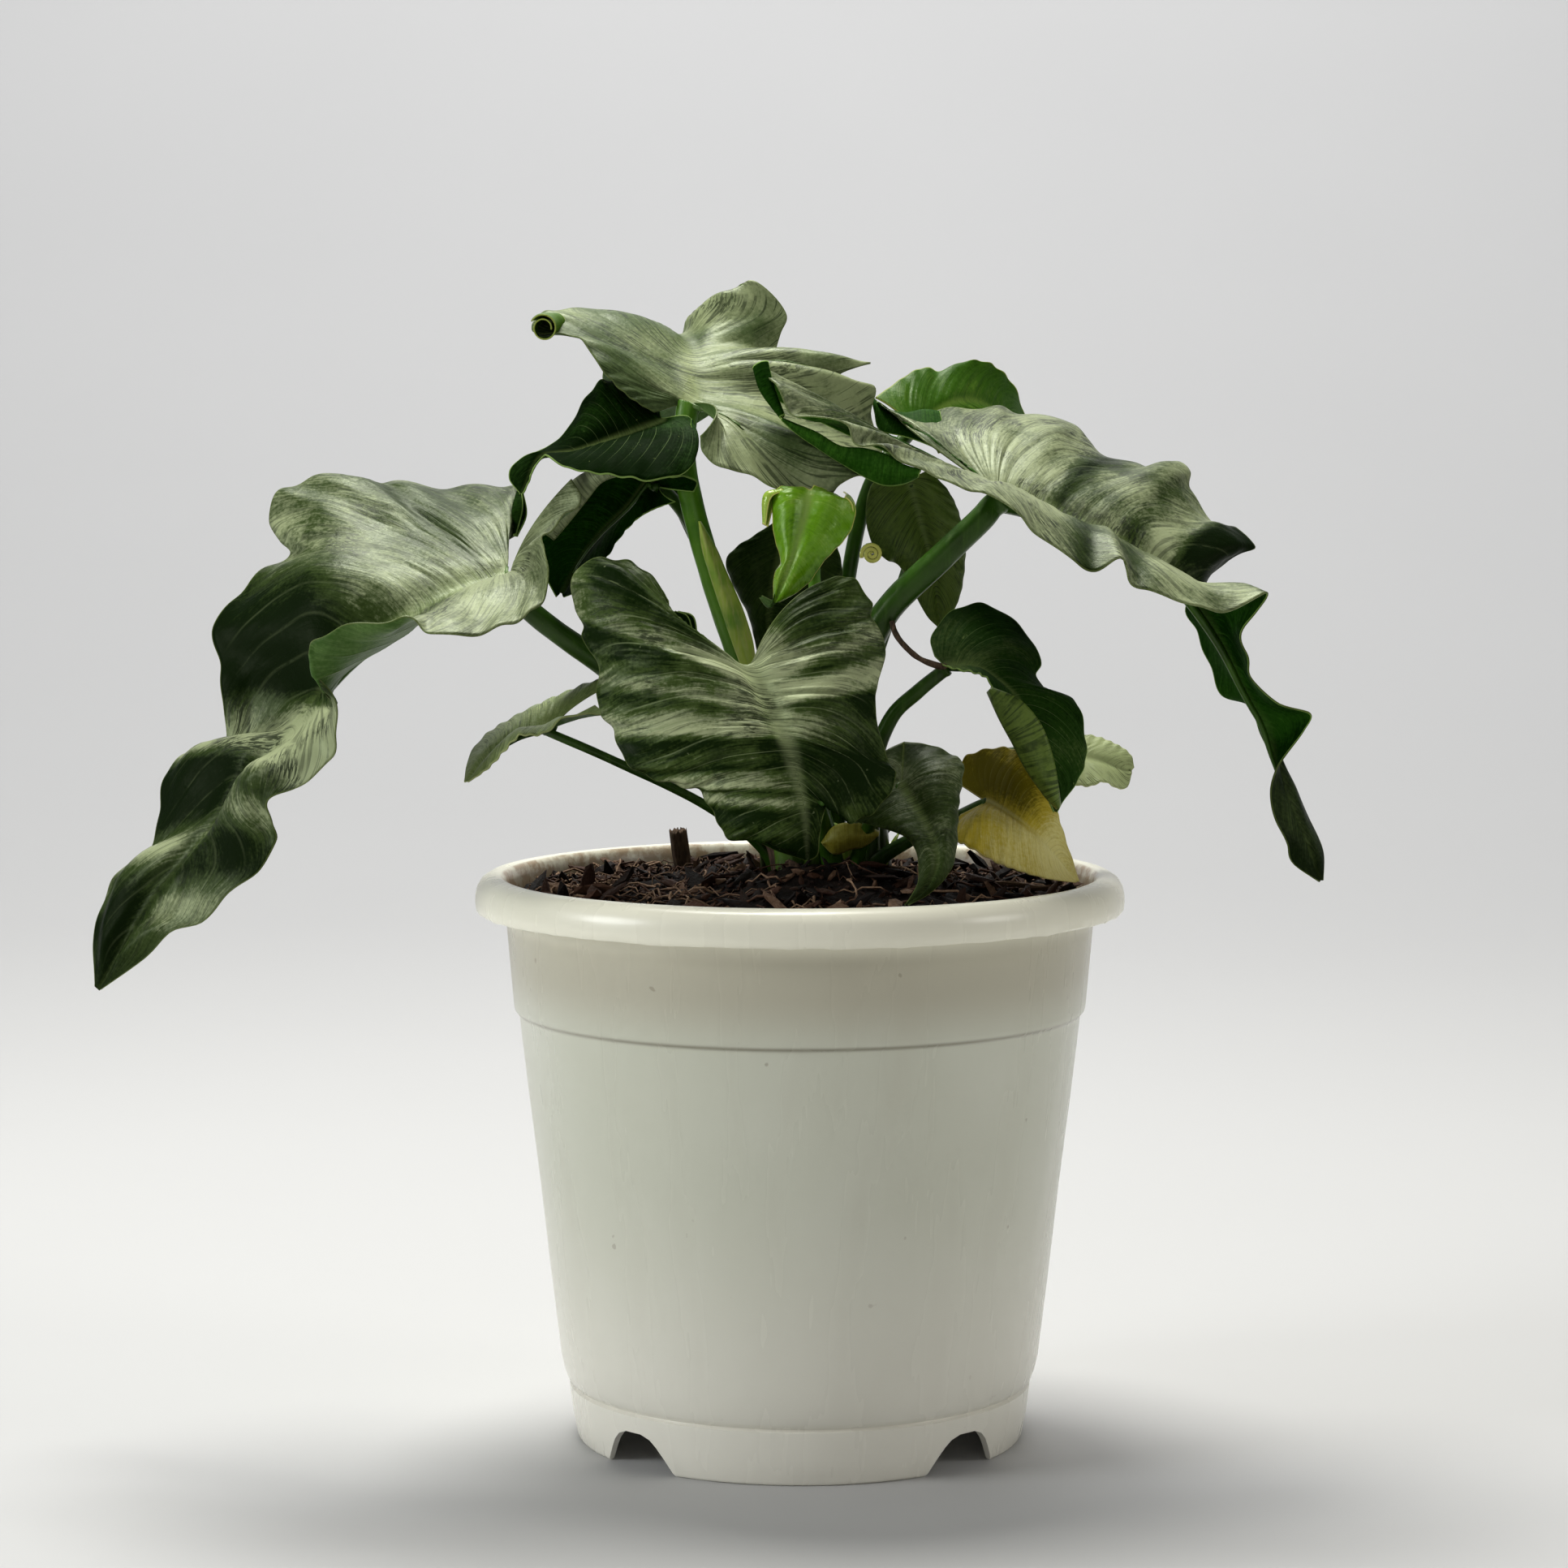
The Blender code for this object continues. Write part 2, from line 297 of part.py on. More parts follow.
# Stalks: angle of the base round the crown in degrees, radius at base and at blade, and
# the points that the centre line passes after its base.
STALKS = {
    "stalk_left": dict(angle=180, base=3.8, top=3.2, route=[
        (-10, -1, 186), (-20, -3, 204), (-40, -5, 224), (-62, -6, 241), (-75, -7, 250.5),
        (-83, -7, 257), (-87.5, -7.5, 262)]),
    "stalk_low_left": dict(angle=203, base=1.6, top=1.2, route=[
        (-12, -8, 184), (-30, -12, 198), (-57, -16, 211.5), (-75, -18.4, 219.6)]),
    "stalk_top": dict(angle=227.5, base=4.0, top=3.4, route=[
        (-5, -10.5, 190), (-10, -9.5, 214), (-18, -8.5, 240), (-26, -8, 264),
        (-33, -7, 289), (-35.5, -6, 305), (-34.6, -5.5, 316.5)]),
    "stalk_young": dict(angle=254, base=2.2, top=1.6, route=[
        (4, -20, 215), (4.5, -29, 255), (3.6, -35, 285.5)]),
    "stalk_front": dict(angle=278, base=3.2, top=2.8, route=[
        (9, -18, 185), (2, -32, 208), (-8, -47, 229), (-13.5, -57, 238.5)]),
    "stalk_low_front": dict(angle=302, base=2.2, top=1.8, route=[
        (18, -18, 184), (23, -33, 198), (28, -44, 204)]),
    "stalk_yellow": dict(angle=322, base=2.2, top=1.8, route=[
        (24, -11, 180), (34, -14, 187), (46, -16, 193), (54.4, -17.2, 197.4)]),
    "stalk_middle_right": dict(angle=344, base=2.6, top=2.0, route=[
        (22, -6, 190), (23, -9, 210), (28, -10, 224), (36, -11, 232), (42, -11.6, 237)]),
    "stalk_right": dict(angle=13, base=5.0, top=3.6, route=[
        (22, 2, 190), (18, -1, 215), (19.5, -4, 240), (27, -5, 256.5), (42, -6, 271.5),
        (55, -6, 284), (58.5, -5.6, 288)]),
    "stalk_pale_right": dict(angle=38, base=1.6, top=1.3, route=[
        (24, 11, 184), (38, 14, 199), (55, 14, 208.5), (67, 11, 212), (73.4, 8.6, 211)]),
    "stalk_back_lower": dict(angle=56, base=2.2, top=1.8, route=[
        (18, 18, 205), (24, 26, 240), (34, 33, 268), (36.5, 30, 288), (35, 25.4, 293)]),
    "stalk_back_upper": dict(angle=77, base=2.6, top=2.2, route=[
        (12, 17, 200), (13, 18, 240), (15.5, 22, 268), (22, 30, 294), (33.4, 38.4, 309)]),
    "stalk_middle": dict(angle=98, base=2.2, top=1.6, route=[
        (5, 19, 210), (1, 21, 250), (-2, 16, 278)]),
    "stalk_top_lower": dict(angle=119, base=2.4, top=2.0, route=[
        (-3, 15, 200), (-14, 13.5, 235), (-26, 11, 265), (-37, 8.5, 289), (-41, -1, 306),
        (-42, -7, 312)]),
    "stalk_left_inner": dict(angle=141, base=2.4, top=2.0, route=[
        (-7, 7.5, 200), (-14, 5, 235), (-24, 2.5, 262), (-34, 3, 283), (-40, -0.6, 291.4)]),
}

# Yellow-green sheath on the front right of the top leaf's stalk
SHEATH = dict(
    rows=10,
    midrib=[(0, -29, -13.2, 282), (6, -25.5, -13.4, 270), (12, -20.5, -13.6, 256),
            (20, -15.5, -14.2, 241)],
    left=[(0, -28.8, -12.8, 282), (6, -22.6, -11, 270), (12, -15.6, -10.6, 254),
          (20, -13, -12, 241)],
    right=[(0, -29.4, -13.2, 282), (6, -27.6, -13.2, 270), (12, -24, -13.6, 256),
           (20, -18.4, -14.4, 241)],
    left_arch=[(0, 0, 0, 0), (20, 0, 0, 0)],
    right_arch=[(0, 0, 0, 0), (20, 0, 0, 0)])

TWIG_RADIUS = 0.9
TWIG = [(28, -10, 252.4), (29, -11.4, 250), (31.5, -13, 246.5), (36, -15, 242.6),
        (41, -17, 240.6)]

STICK_SIZE = (5.0, 3.6, 12.0)
STICK_PLACE = (-38.0, 50.0, 177.3)
STICK_LEAN = (4.0, -9.0, 20.0)  # degrees about X, Y and Z

# Colour, roughness
COLOURS = {
    "pot_plastic": ((0.74, 0.75, 0.66), 0.35),
    "soil": ((0.035, 0.02, 0.013), 0.95),
    "crown": ((0.16, 0.24, 0.05), 0.55),
    "stalk": ((0.06, 0.19, 0.02), 0.42),
    "sheath": ((0.34, 0.4, 0.08), 0.5),
    "leaf_dark": ((0.05, 0.1, 0.045), 0.4),
    "leaf_bright": ((0.1, 0.3, 0.015), 0.35),
    "leaf_pale": ((0.24, 0.32, 0.12), 0.45),
    "leaf_yellow": ((0.5, 0.42, 0.06), 0.5),
    "dry_wood": ((0.09, 0.06, 0.045), 0.85),
}
LEAF_COLOUR = {"leaf_back_upper": "leaf_bright", "leaf_young": "leaf_bright",
               "leaf_low_left": "leaf_pale", "leaf_pale_right": "leaf_pale",
               "leaf_yellow": "leaf_yellow"}


def clear_scene():
    for item in list(bpy.data.objects):
        bpy.data.objects.remove(item, do_unlink=True)


def new_collection(name):
    group = bpy.data.collections.new(name)
    bpy.context.scene.collection.children.link(group)
    return group


def make_materials():
    made = {}
    for name, (colour, roughness) in COLOURS.items():
        material = bpy.data.materials.new(name)
        material.use_nodes = True
        shader = material.node_tree.nodes["Principled BSDF"]
        shader.inputs["Base Color"].default_value = (*colour, 1.0)
        shader.inputs["Roughness"].default_value = roughness
        shader.inputs["Metallic"].default_value = 0.0
        made[name] = material
    return made


def add_object(name, data, group, material=None):
    item = bpy.data.objects.new(name, data)
    group.objects.link(item)
    if material:
        data.materials.append(material)
    return item


def curve_at(points, at):
    """Smooth curve through (row, value...) points, read at one row number."""
    rows = [point[0] for point in points]
    values = np.array([point[1:] for point in points], float)
    last = len(points) - 1
    i = min(max(int(np.searchsorted(rows, at, side="right")) - 1, 0), last - 1)
    span = rows[i + 1] - rows[i]
    t = min(max((at - rows[i]) / span, 0.0), 1.0)
    before = max(i - 1, 0)
    after = min(i + 2, last)
    slope_in = (values[i + 1] - values[before]) / (rows[i + 1] - rows[before])
    slope_out = (values[after] - values[i]) / (rows[after] - rows[i])
    return (values[i] * (2 * t ** 3 - 3 * t ** 2 + 1) + slope_in * span * (t ** 3 - 2 * t ** 2 + t)
            + values[i + 1] * (3 * t ** 2 - 2 * t ** 3) + slope_out * span * (t ** 3 - t ** 2))


def blade_point(leaf, across, row):
    """Point of a blade: across runs from -1 on the left margin to 1 on the right."""
    side = "left" if across < 0 else "right"
    u = abs(across)
    inner = curve_at(leaf["midrib"], row)
    outer = curve_at(leaf[side], row)
    arch = curve_at(leaf[side + "_arch"], row)
    return inner + (outer - inner) * u + arch * 4 * u * (1 - u)


def make_blade(name, leaf, columns, thickness, group, material):
    """A sheet over the five curves, given its thickness."""
    mesh = bmesh.new()
    bmesh.ops.create_grid(mesh, x_segments=columns, y_segments=leaf["rows"], size=1.0)
    for vert in mesh.verts:
        row = (vert.co.y + 1) / 2 * LAST_ROW
        vert.co = Vector(blade_point(leaf, vert.co.x, row)) * MM
    data = bpy.data.meshes.new(name)
    mesh.to_mesh(data)
    mesh.free()
    data.shade_smooth()
    blade = add_object(name, data, group, material)
    shell = blade.modifiers.new("thickness", "SOLIDIFY")
    shell.thickness = thickness * MM
    shell.offset = 0
    return blade


def make_rod(name, points, radii, group, material):
    """Round rod along a smooth curve, with closed ends."""
    steps = 2 * (len(points) - 1)
    numbered = [(i, *point) for i, point in enumerate(points)]
    line = bpy.data.curves.new(name, "CURVE")
    line.dimensions = "3D"
    line.bevel_depth = MM
    line.bevel_resolution = 2
    line.use_fill_caps = True
    spline = line.splines.new("POLY")
    spline.points.add(steps)
    for i, point in enumerate(spline.points):
        share = i / steps
        place = curve_at(numbered, share * (len(points) - 1)) * MM
        point.co = (*place, 1.0)
        point.radius = radii[0] + (radii[1] - radii[0]) * share
    return add_object(name, line, group, material)


def stalk_points(stalk):
    angle = math.radians(stalk["angle"])
    base = (CROWN_X + STALK_RING * math.cos(angle), STALK_RING * math.sin(angle), STALK_FOOT_Z)
    return [base] + stalk["route"]


def turn_profile(name, outline, group, material):
    """Solid turned about the Z axis from (radius, height) points in mm."""
    mesh = bmesh.new()
    verts = [mesh.verts.new((r * MM, 0, z * MM)) for r, z in outline]
    for a, b in zip(verts, verts[1:]):
        mesh.edges.new((a, b))
    data = bpy.data.meshes.new(name)
    mesh.to_mesh(data)
    mesh.free()
    item = add_object(name, data, group, material)
    screw = item.modifiers.new("turn", "SCREW")
    screw.axis = "Z"
    screw.steps = POT_STEPS
    screw.render_steps = POT_STEPS
    screw.use_merge_vertices = True
    screw.merge_threshold = 0.00001
    return item


def cut(item, cutters):
    for cutter in cutters:
        cutter.hide_render = True
        cutter.display_type = "WIRE"
        boolean = item.modifiers.new("cut", "BOOLEAN")
        boolean.operation = "DIFFERENCE"
        boolean.solver = "EXACT"
        boolean.object = cutter


def make_arch_cutter(index, cutters):
    """Curved-sided arch through the foot ring, as a flat outline with depth."""
    half = ARCH_HALF_WIDTH
    top = ARCH_HEIGHT
    outline = [(-half, -2), (-half, 0), (-0.78 * half, 0.42 * top), (-0.5 * half, 0.84 * top),
               (-0.2 * half, top), (0.2 * half, top), (0.5 * half, 0.84 * top),
               (0.78 * half, 0.42 * top), (half, 0), (half, -2)]
    mesh = bmesh.new()
    face = mesh.faces.new([mesh.verts.new((x * MM, 50 * MM, z * MM)) for x, z in outline])
    sides = bmesh.ops.extrude_face_region(mesh, geom=[face])
    moved = [part for part in sides["geom"] if isinstance(part, bmesh.types.BMVert)]
    bmesh.ops.translate(mesh, verts=moved, vec=(0, 40 * MM, 0))
    bmesh.ops.recalc_face_normals(mesh, faces=mesh.faces)
    data = bpy.data.meshes.new("arch_cutter")
    mesh.to_mesh(data)
    mesh.free()
    cutter = add_object(f"arch_cutter_{index}", data, cutters)
    cutter.rotation_euler.z = math.radians(45 + 360 / FOOT_ARCHES * index)
    return cutter


def make_drain_cutter(index, cutters):
    angle = 2 * math.pi * (index + 0.5) / DRAIN_HOLES
    mesh = bmesh.new()
    bmesh.ops.create_cone(mesh, cap_ends=True, segments=16, radius1=DRAIN_RADIUS * MM,
                          radius2=DRAIN_RADIUS * MM, depth=12 * MM)
    data = bpy.data.meshes.new("drain_cutter")
    mesh.to_mesh(data)
    mesh.free()
    cutter = add_object(f"drain_cutter_{index}", data, cutters)
    cutter.location = (DRAIN_CIRCLE * math.cos(angle) * MM, DRAIN_CIRCLE * math.sin(angle) * MM,
                       (FLOOR_Z + FLOOR_THICKNESS / 2) * MM)
    return cutter


def inner_radius(z):
    """Radius of the pot's inner wall at height z."""
    share = (z - SHOULDER_Z) / (BAND_Z - SHOULDER_Z)
    return SHOULDER_RADIUS - WALL + (BODY_TOP_RADIUS - SHOULDER_RADIUS) * share


def make_pot(group, cutters, materials):
    top = POT_HEIGHT
    lip = top - LIP_DROP
    inside_floor = FLOOR_Z + FLOOR_THICKNESS
    outline = [
        (0, inside_floor), (SEAM_RADIUS - WALL - 3, inside_floor),
        (SEAM_RADIUS - WALL, inside_floor + 4), (inner_radius(SHOULDER_Z), SHOULDER_Z),
        (inner_radius(BAND_Z), BAND_Z), (MOUTH_RADIUS - 1.4, top - 3),
        (MOUTH_RADIUS, top - 0.4), (MOUTH_RADIUS + 2.2, top),
        (RIM_RADIUS - 2.6, top - 1.6), (RIM_RADIUS - 0.4, top - 4.4), (RIM_RADIUS, top - 7),
        (RIM_RADIUS - 0.2, lip), (RIM_RADIUS - 2.2, lip - 0.6), (RIM_RADIUS - 3.6, lip),
        (BAND_RADIUS + 3.4, lip + 1.6), (BAND_RADIUS + 1.8, lip - 3),
        (BAND_RADIUS, BAND_Z + 0.6), (BODY_TOP_RADIUS, BAND_Z - 0.4),
        (SHOULDER_RADIUS, SHOULDER_Z), (SHOULDER_RADIUS - 0.9, SHOULDER_Z - 5),
        (SEAM_RADIUS, SEAM_Z + 0.8), (SEAM_RADIUS - 0.8, SEAM_Z), (SEAM_RADIUS, SEAM_Z - 0.9),
        (FOOT_RADIUS, 0), (FOOT_RADIUS - WALL, 0), (SEAM_RADIUS - WALL - 2, FLOOR_Z - 2),
        (SEAM_RADIUS - WALL - 6, FLOOR_Z), (0, FLOOR_Z)]
    pot = turn_profile("pot", outline, group, materials["pot_plastic"])
    arches = [make_arch_cutter(i, cutters) for i in range(FOOT_ARCHES)]
    drains = [make_drain_cutter(i, cutters) for i in range(DRAIN_HOLES)]
    cut(pot, arches + drains)
    return pot


def make_soil(group, materials):
    floor = FLOOR_Z + FLOOR_THICKNESS + GAP
    edge = 2 * GAP  # the flats of a faceted wall lie a little inside its corners
    outline = [
        (0, SOIL_TOP_Z), (30, SOIL_TOP_Z), (60, SOIL_TOP_Z - 1),
        (inner_radius(SOIL_EDGE_Z) - edge - 1.6, SOIL_EDGE_Z),
        (inner_radius(BAND_Z) - edge, BAND_Z), (inner_radius(SHOULDER_Z) - edge, SHOULDER_Z),
        (SEAM_RADIUS - WALL - edge - 0.6, floor + 4.4), (SEAM_RADIUS - WALL - 4, floor), (0, floor)]
    return turn_profile("soil", outline, group, materials["soil"])


def make_crown(group, materials):
    base = SOIL_TOP_Z + GAP
    r = CROWN_RADIUS
    outline = [(0, base + CROWN_HEIGHT), (0.4 * r, base + 0.92 * CROWN_HEIGHT),
               (0.8 * r, base + 0.62 * CROWN_HEIGHT), (r, base + 0.3 * CROWN_HEIGHT),
               (0.96 * r, base), (0, base)]
    crown = turn_profile("crown", outline, group, materials["crown"])
    crown.modifiers["turn"].steps = 20
    crown.modifiers["turn"].render_steps = 20
    crown.location.x = CROWN_X * MM
    return crown


def make_stick(group, materials):
    mesh = bmesh.new()
    bmesh.ops.create_cube(mesh, size=1.0)
    bmesh.ops.scale(mesh, vec=[side * MM for side in STICK_SIZE], verts=mesh.verts)
    data = bpy.data.meshes.new("wood_stick")
    mesh.to_mesh(data)
    mesh.free()
    stick = add_object("wood_stick", data, group, materials["dry_wood"])
    stick.location = Vector(STICK_PLACE) * MM
    stick.rotation_euler = [math.radians(turn) for turn in STICK_LEAN]
    return stick


def stand_on_origin(items):
    """Put the bottom centre of the whole object's box on the origin, to the nearest mm."""
    bpy.context.view_layer.update()
    graph = bpy.context.evaluated_depsgraph_get()
    corners = []
    for item in items:
        seen = item.evaluated_get(graph)
        mesh = seen.to_mesh()
        corners.extend(item.matrix_world @ vert.co for vert in mesh.vertices)
        seen.to_mesh_clear()
    for axis in (0, 1):
        values = [corner[axis] for corner in corners]
        middle = round((min(values) + max(values)) / 2, 3)
        for item in items + list(bpy.data.collections["cutters"].objects):
            item.location[axis] -= middle


def main():
    clear_scene()
    group = new_collection(OBJECT_NAME)
    cutters = new_collection("cutters")
    materials = make_materials()
    items = [make_pot(group, cutters, materials), make_soil(group, materials),
             make_crown(group, materials), make_stick(group, materials)]
    for name, leaf in LEAVES.items():
        columns = 8 if leaf["rows"] > 20 else 4
        colour = materials[LEAF_COLOUR.get(name, "leaf_dark")]
        items.append(make_blade(name, leaf, columns, BLADE_THICKNESS, group, colour))
    for name, stalk in STALKS.items():
        items.append(make_rod(name, stalk_points(stalk), (stalk["base"], stalk["top"]), group,
                              materials["stalk"]))
    items.append(make_blade("sheath", SHEATH, 4, BLADE_THICKNESS / 2, group,
                            materials["sheath"]))
    items.append(make_rod("dry_root", TWIG, (TWIG_RADIUS, TWIG_RADIUS), group,
                          materials["dry_wood"]))
    stand_on_origin(items)


main()
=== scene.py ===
# A philodendron in an off-white nursery pot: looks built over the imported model.
# Plant points are in millimetres from the pot's axis at floor level.

import math
import random

import bmesh
import bpy
import numpy as np
from mathutils import Matrix, Vector, noise


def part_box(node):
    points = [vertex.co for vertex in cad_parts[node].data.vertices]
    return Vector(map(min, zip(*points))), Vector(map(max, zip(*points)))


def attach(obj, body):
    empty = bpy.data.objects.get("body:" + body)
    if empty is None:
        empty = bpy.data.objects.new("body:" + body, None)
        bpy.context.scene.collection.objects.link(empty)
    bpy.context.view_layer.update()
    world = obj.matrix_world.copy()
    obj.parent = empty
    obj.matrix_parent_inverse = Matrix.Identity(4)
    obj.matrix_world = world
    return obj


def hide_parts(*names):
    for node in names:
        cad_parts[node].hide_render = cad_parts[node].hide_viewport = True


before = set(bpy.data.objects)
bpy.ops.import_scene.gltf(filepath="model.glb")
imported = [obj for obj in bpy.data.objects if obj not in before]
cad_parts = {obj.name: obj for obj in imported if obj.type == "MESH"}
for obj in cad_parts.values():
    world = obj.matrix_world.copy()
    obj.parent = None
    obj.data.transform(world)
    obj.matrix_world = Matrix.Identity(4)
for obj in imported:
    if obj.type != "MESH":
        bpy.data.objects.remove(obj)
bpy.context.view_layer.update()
potLow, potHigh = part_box("pot")
potAxis = Vector(((potLow[0] + potHigh[0]) / 2, (potLow[1] + potHigh[1]) / 2, 0))
mm = 0.001
joinRow, lastRow = 5.0, 20.0  # rows of a blade: lobes' ends at 0, stalk joins at 5, tip at 20
print("model loaded, pot axis at", round(potAxis.x, 4), round(potAxis.y, 4))


def place(point):
    return potAxis + Vector([float(value) for value in point]) * mm


def curveAt(points, at):
    # smooth curve through (row, values...), read at one row
    rows = [point[0] for point in points]
    values = np.array([point[1:] for point in points], float)
    last = len(points) - 1
    i = min(max(int(np.searchsorted(rows, at, side="right")) - 1, 0), last - 1)
    span = rows[i + 1] - rows[i]
    t = min(max((at - rows[i]) / span, 0.0), 1.0)
    before = max(i - 1, 0)
    after = min(i + 2, last)
    slopeIn = (values[i + 1] - values[before]) / (rows[i + 1] - rows[before])
    slopeOut = (values[after] - values[i]) / (rows[after] - rows[i])
    return (values[i] * (2 * t ** 3 - 3 * t ** 2 + 1) + slopeIn * span * (t ** 3 - 2 * t ** 2 + t)
            + values[i + 1] * (3 * t ** 2 - 2 * t ** 3) + slopeOut * span * (t ** 3 - t ** 2))


def ramp(value, low, high):
    # 0 at low, 1 at high, smooth between
    t = np.clip((value - low) / (high - low), 0.0, 1.0)
    return t * t * (3 - 2 * t)


def meshData(name, mesh, materials=(), smooth=True):
    data = bpy.data.meshes.new(name)
    mesh.to_mesh(data)
    mesh.free()
    if smooth:
        data.shade_smooth()
    for material in materials:
        data.materials.append(material)
    return data


def addObject(name, data):
    thing = bpy.data.objects.new(name, data)
    bpy.context.scene.collection.objects.link(thing)
    return thing


def finishPiece(name, mesh, materials, node=None, smooth=True):
    piece = addObject(name, meshData(name, mesh, materials, smooth))
    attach(piece, "root")
    if node:
        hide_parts(node)
    return piece


def giveThickness(piece, thickness, offset=0, under=False):
    # offset -1 keeps the drawn sheet as the top; under gives the other side its own material
    shell = piece.modifiers.new("thickness", "SOLIDIFY")
    shell.thickness = thickness * mm
    shell.offset = offset
    if under:
        shell.material_offset = 1
        shell.material_offset_rim = 0


def spinOutline(outline, steps, merge):
    # radius and height pairs in mm, turned once round the pot's axis
    mesh = bmesh.new()
    verts = [mesh.verts.new((r * mm, 0, z * mm)) for r, z in outline]
    edges = [mesh.edges.new(pair) for pair in zip(verts, verts[1:])]
    bmesh.ops.spin(mesh, geom=verts + edges, cent=(0, 0, 0), axis=(0, 0, 1), dvec=(0, 0, 0),
                   angle=2 * math.pi, steps=steps, use_merge=True)
    bmesh.ops.remove_doubles(mesh, verts=mesh.verts, dist=merge)
    bmesh.ops.recalc_face_normals(mesh, faces=mesh.faces)
    return mesh


def addTube(mesh, points, radii, sides, layer=None):
    # closed round tube through points in metres, given its radius at each one
    count = len(points)
    made = bmesh.ops.create_grid(mesh, x_segments=sides, y_segments=count - 1, size=1.0)["verts"]
    rings = [[None] * (sides + 1) for _ in range(count)]
    for vert in made:
        i = round((vert.co.x + 1) / 2 * sides)
        j = round((vert.co.y + 1) / 2 * (count - 1))
        rings[j][i] = vert
    up = Vector((0.13, 0.2, 1)).normalized()
    for j, ring in enumerate(rings):
        ahead = points[min(j + 1, count - 1)] - points[max(j - 1, 0)]
        ahead.normalize()
        up = (up - ahead * up.dot(ahead)).normalized()
        side = ahead.cross(up)
        for i, vert in enumerate(ring):
            turn = -2 * math.pi * i / sides
            vert.co = points[j] + (side * math.cos(turn) + up * math.sin(turn)) * radii[j]
            if layer:
                vert[layer] = Vector((j / (count - 1), i / sides, radii[j] / mm))
    bmesh.ops.remove_doubles(mesh, verts=made, dist=0.000001)
    for ring in (rings[0], rings[-1]):
        alive = [vert for vert in ring if vert.is_valid]
        edges = {edge for vert in alive for edge in vert.link_edges
                 if edge.is_boundary and all(v in alive for v in edge.verts)}
        bmesh.ops.contextual_create(mesh, geom=list(edges))


def routePoints(route, count):
    numbered = [(i, *point) for i, point in enumerate(route)]
    return [place(curveAt(numbered, (len(route) - 1) * i / (count - 1))) for i in range(count)]


def newMaterial(name, roughness=0.5, **values):
    material = bpy.data.materials.new(name)
    material.use_nodes = True
    tree = material.node_tree
    shader = tree.nodes["Principled BSDF"]
    shader.inputs["Roughness"].default_value = roughness
    for socket, value in values.items():
        shader.inputs[socket.replace("_", " ")].default_value = value
    return tree, shader, material


def addNode(tree, kind, inputs=(), **settings):
    node = tree.nodes.new(kind)
    for key, value in settings.items():
        setattr(node, key, value)
    for socket, value in dict(inputs).items():
        if isinstance(value, bpy.types.NodeSocket):
            tree.links.new(value, node.inputs[socket])
        else:
            node.inputs[socket].default_value = value
    return node


def objectCoords(tree):
    return addNode(tree, "ShaderNodeTexCoord").outputs["Object"]


def attributeOf(tree, name, output="Fac"):
    return addNode(tree, "ShaderNodeAttribute", attribute_name=name).outputs[output]


def partsOf(tree, vector):
    return addNode(tree, "ShaderNodeSeparateXYZ", {0: vector}).outputs


def stretched(tree, coords, scale):
    return addNode(tree, "ShaderNodeMapping", {"Vector": coords, "Scale": scale}).outputs[0]


def noiseOf(tree, coords, scale, detail=4.0, roughness=0.55, distortion=0.0):
    return addNode(tree, "ShaderNodeTexNoise", {"Vector": coords, "Scale": scale, "Detail": detail,
                   "Roughness": roughness, "Distortion": distortion}).outputs["Fac"]


def spread(tree, value, low, high, toLow=0.0, toHigh=1.0):
    return addNode(tree, "ShaderNodeMapRange", {"Value": value, "From Min": low, "From Max": high,
                   "To Min": toLow, "To Max": toHigh}, interpolation_type="SMOOTHSTEP").outputs[0]


def maths(tree, operation, a, b=0.0):
    return addNode(tree, "ShaderNodeMath", {0: a, 1: b}, operation=operation).outputs[0]


def blendColour(tree, amount, a, b):
    node = addNode(tree, "ShaderNodeMix", data_type="RGBA")
    for index, value in ((0, amount), (6, a), (7, b)):
        if isinstance(value, bpy.types.NodeSocket):
            tree.links.new(value, node.inputs[index])
        elif index:
            node.inputs[index].default_value = (*value, 1.0)
        else:
            node.inputs[index].default_value = value
    return node.outputs[2]


def bumpOf(tree, height, strength, distance, under=None):
    inputs = {"Height": height, "Strength": strength, "Distance": distance}
    if under:
        inputs["Normal"] = under
    return addNode(tree, "ShaderNodeBump", inputs).outputs[0]


def plugIn(tree, shader, colour, bump, roughness=None):
    tree.links.new(colour, shader.inputs["Base Color"])
    tree.links.new(bump, shader.inputs["Normal"])
    if roughness:
        tree.links.new(roughness, shader.inputs["Roughness"])


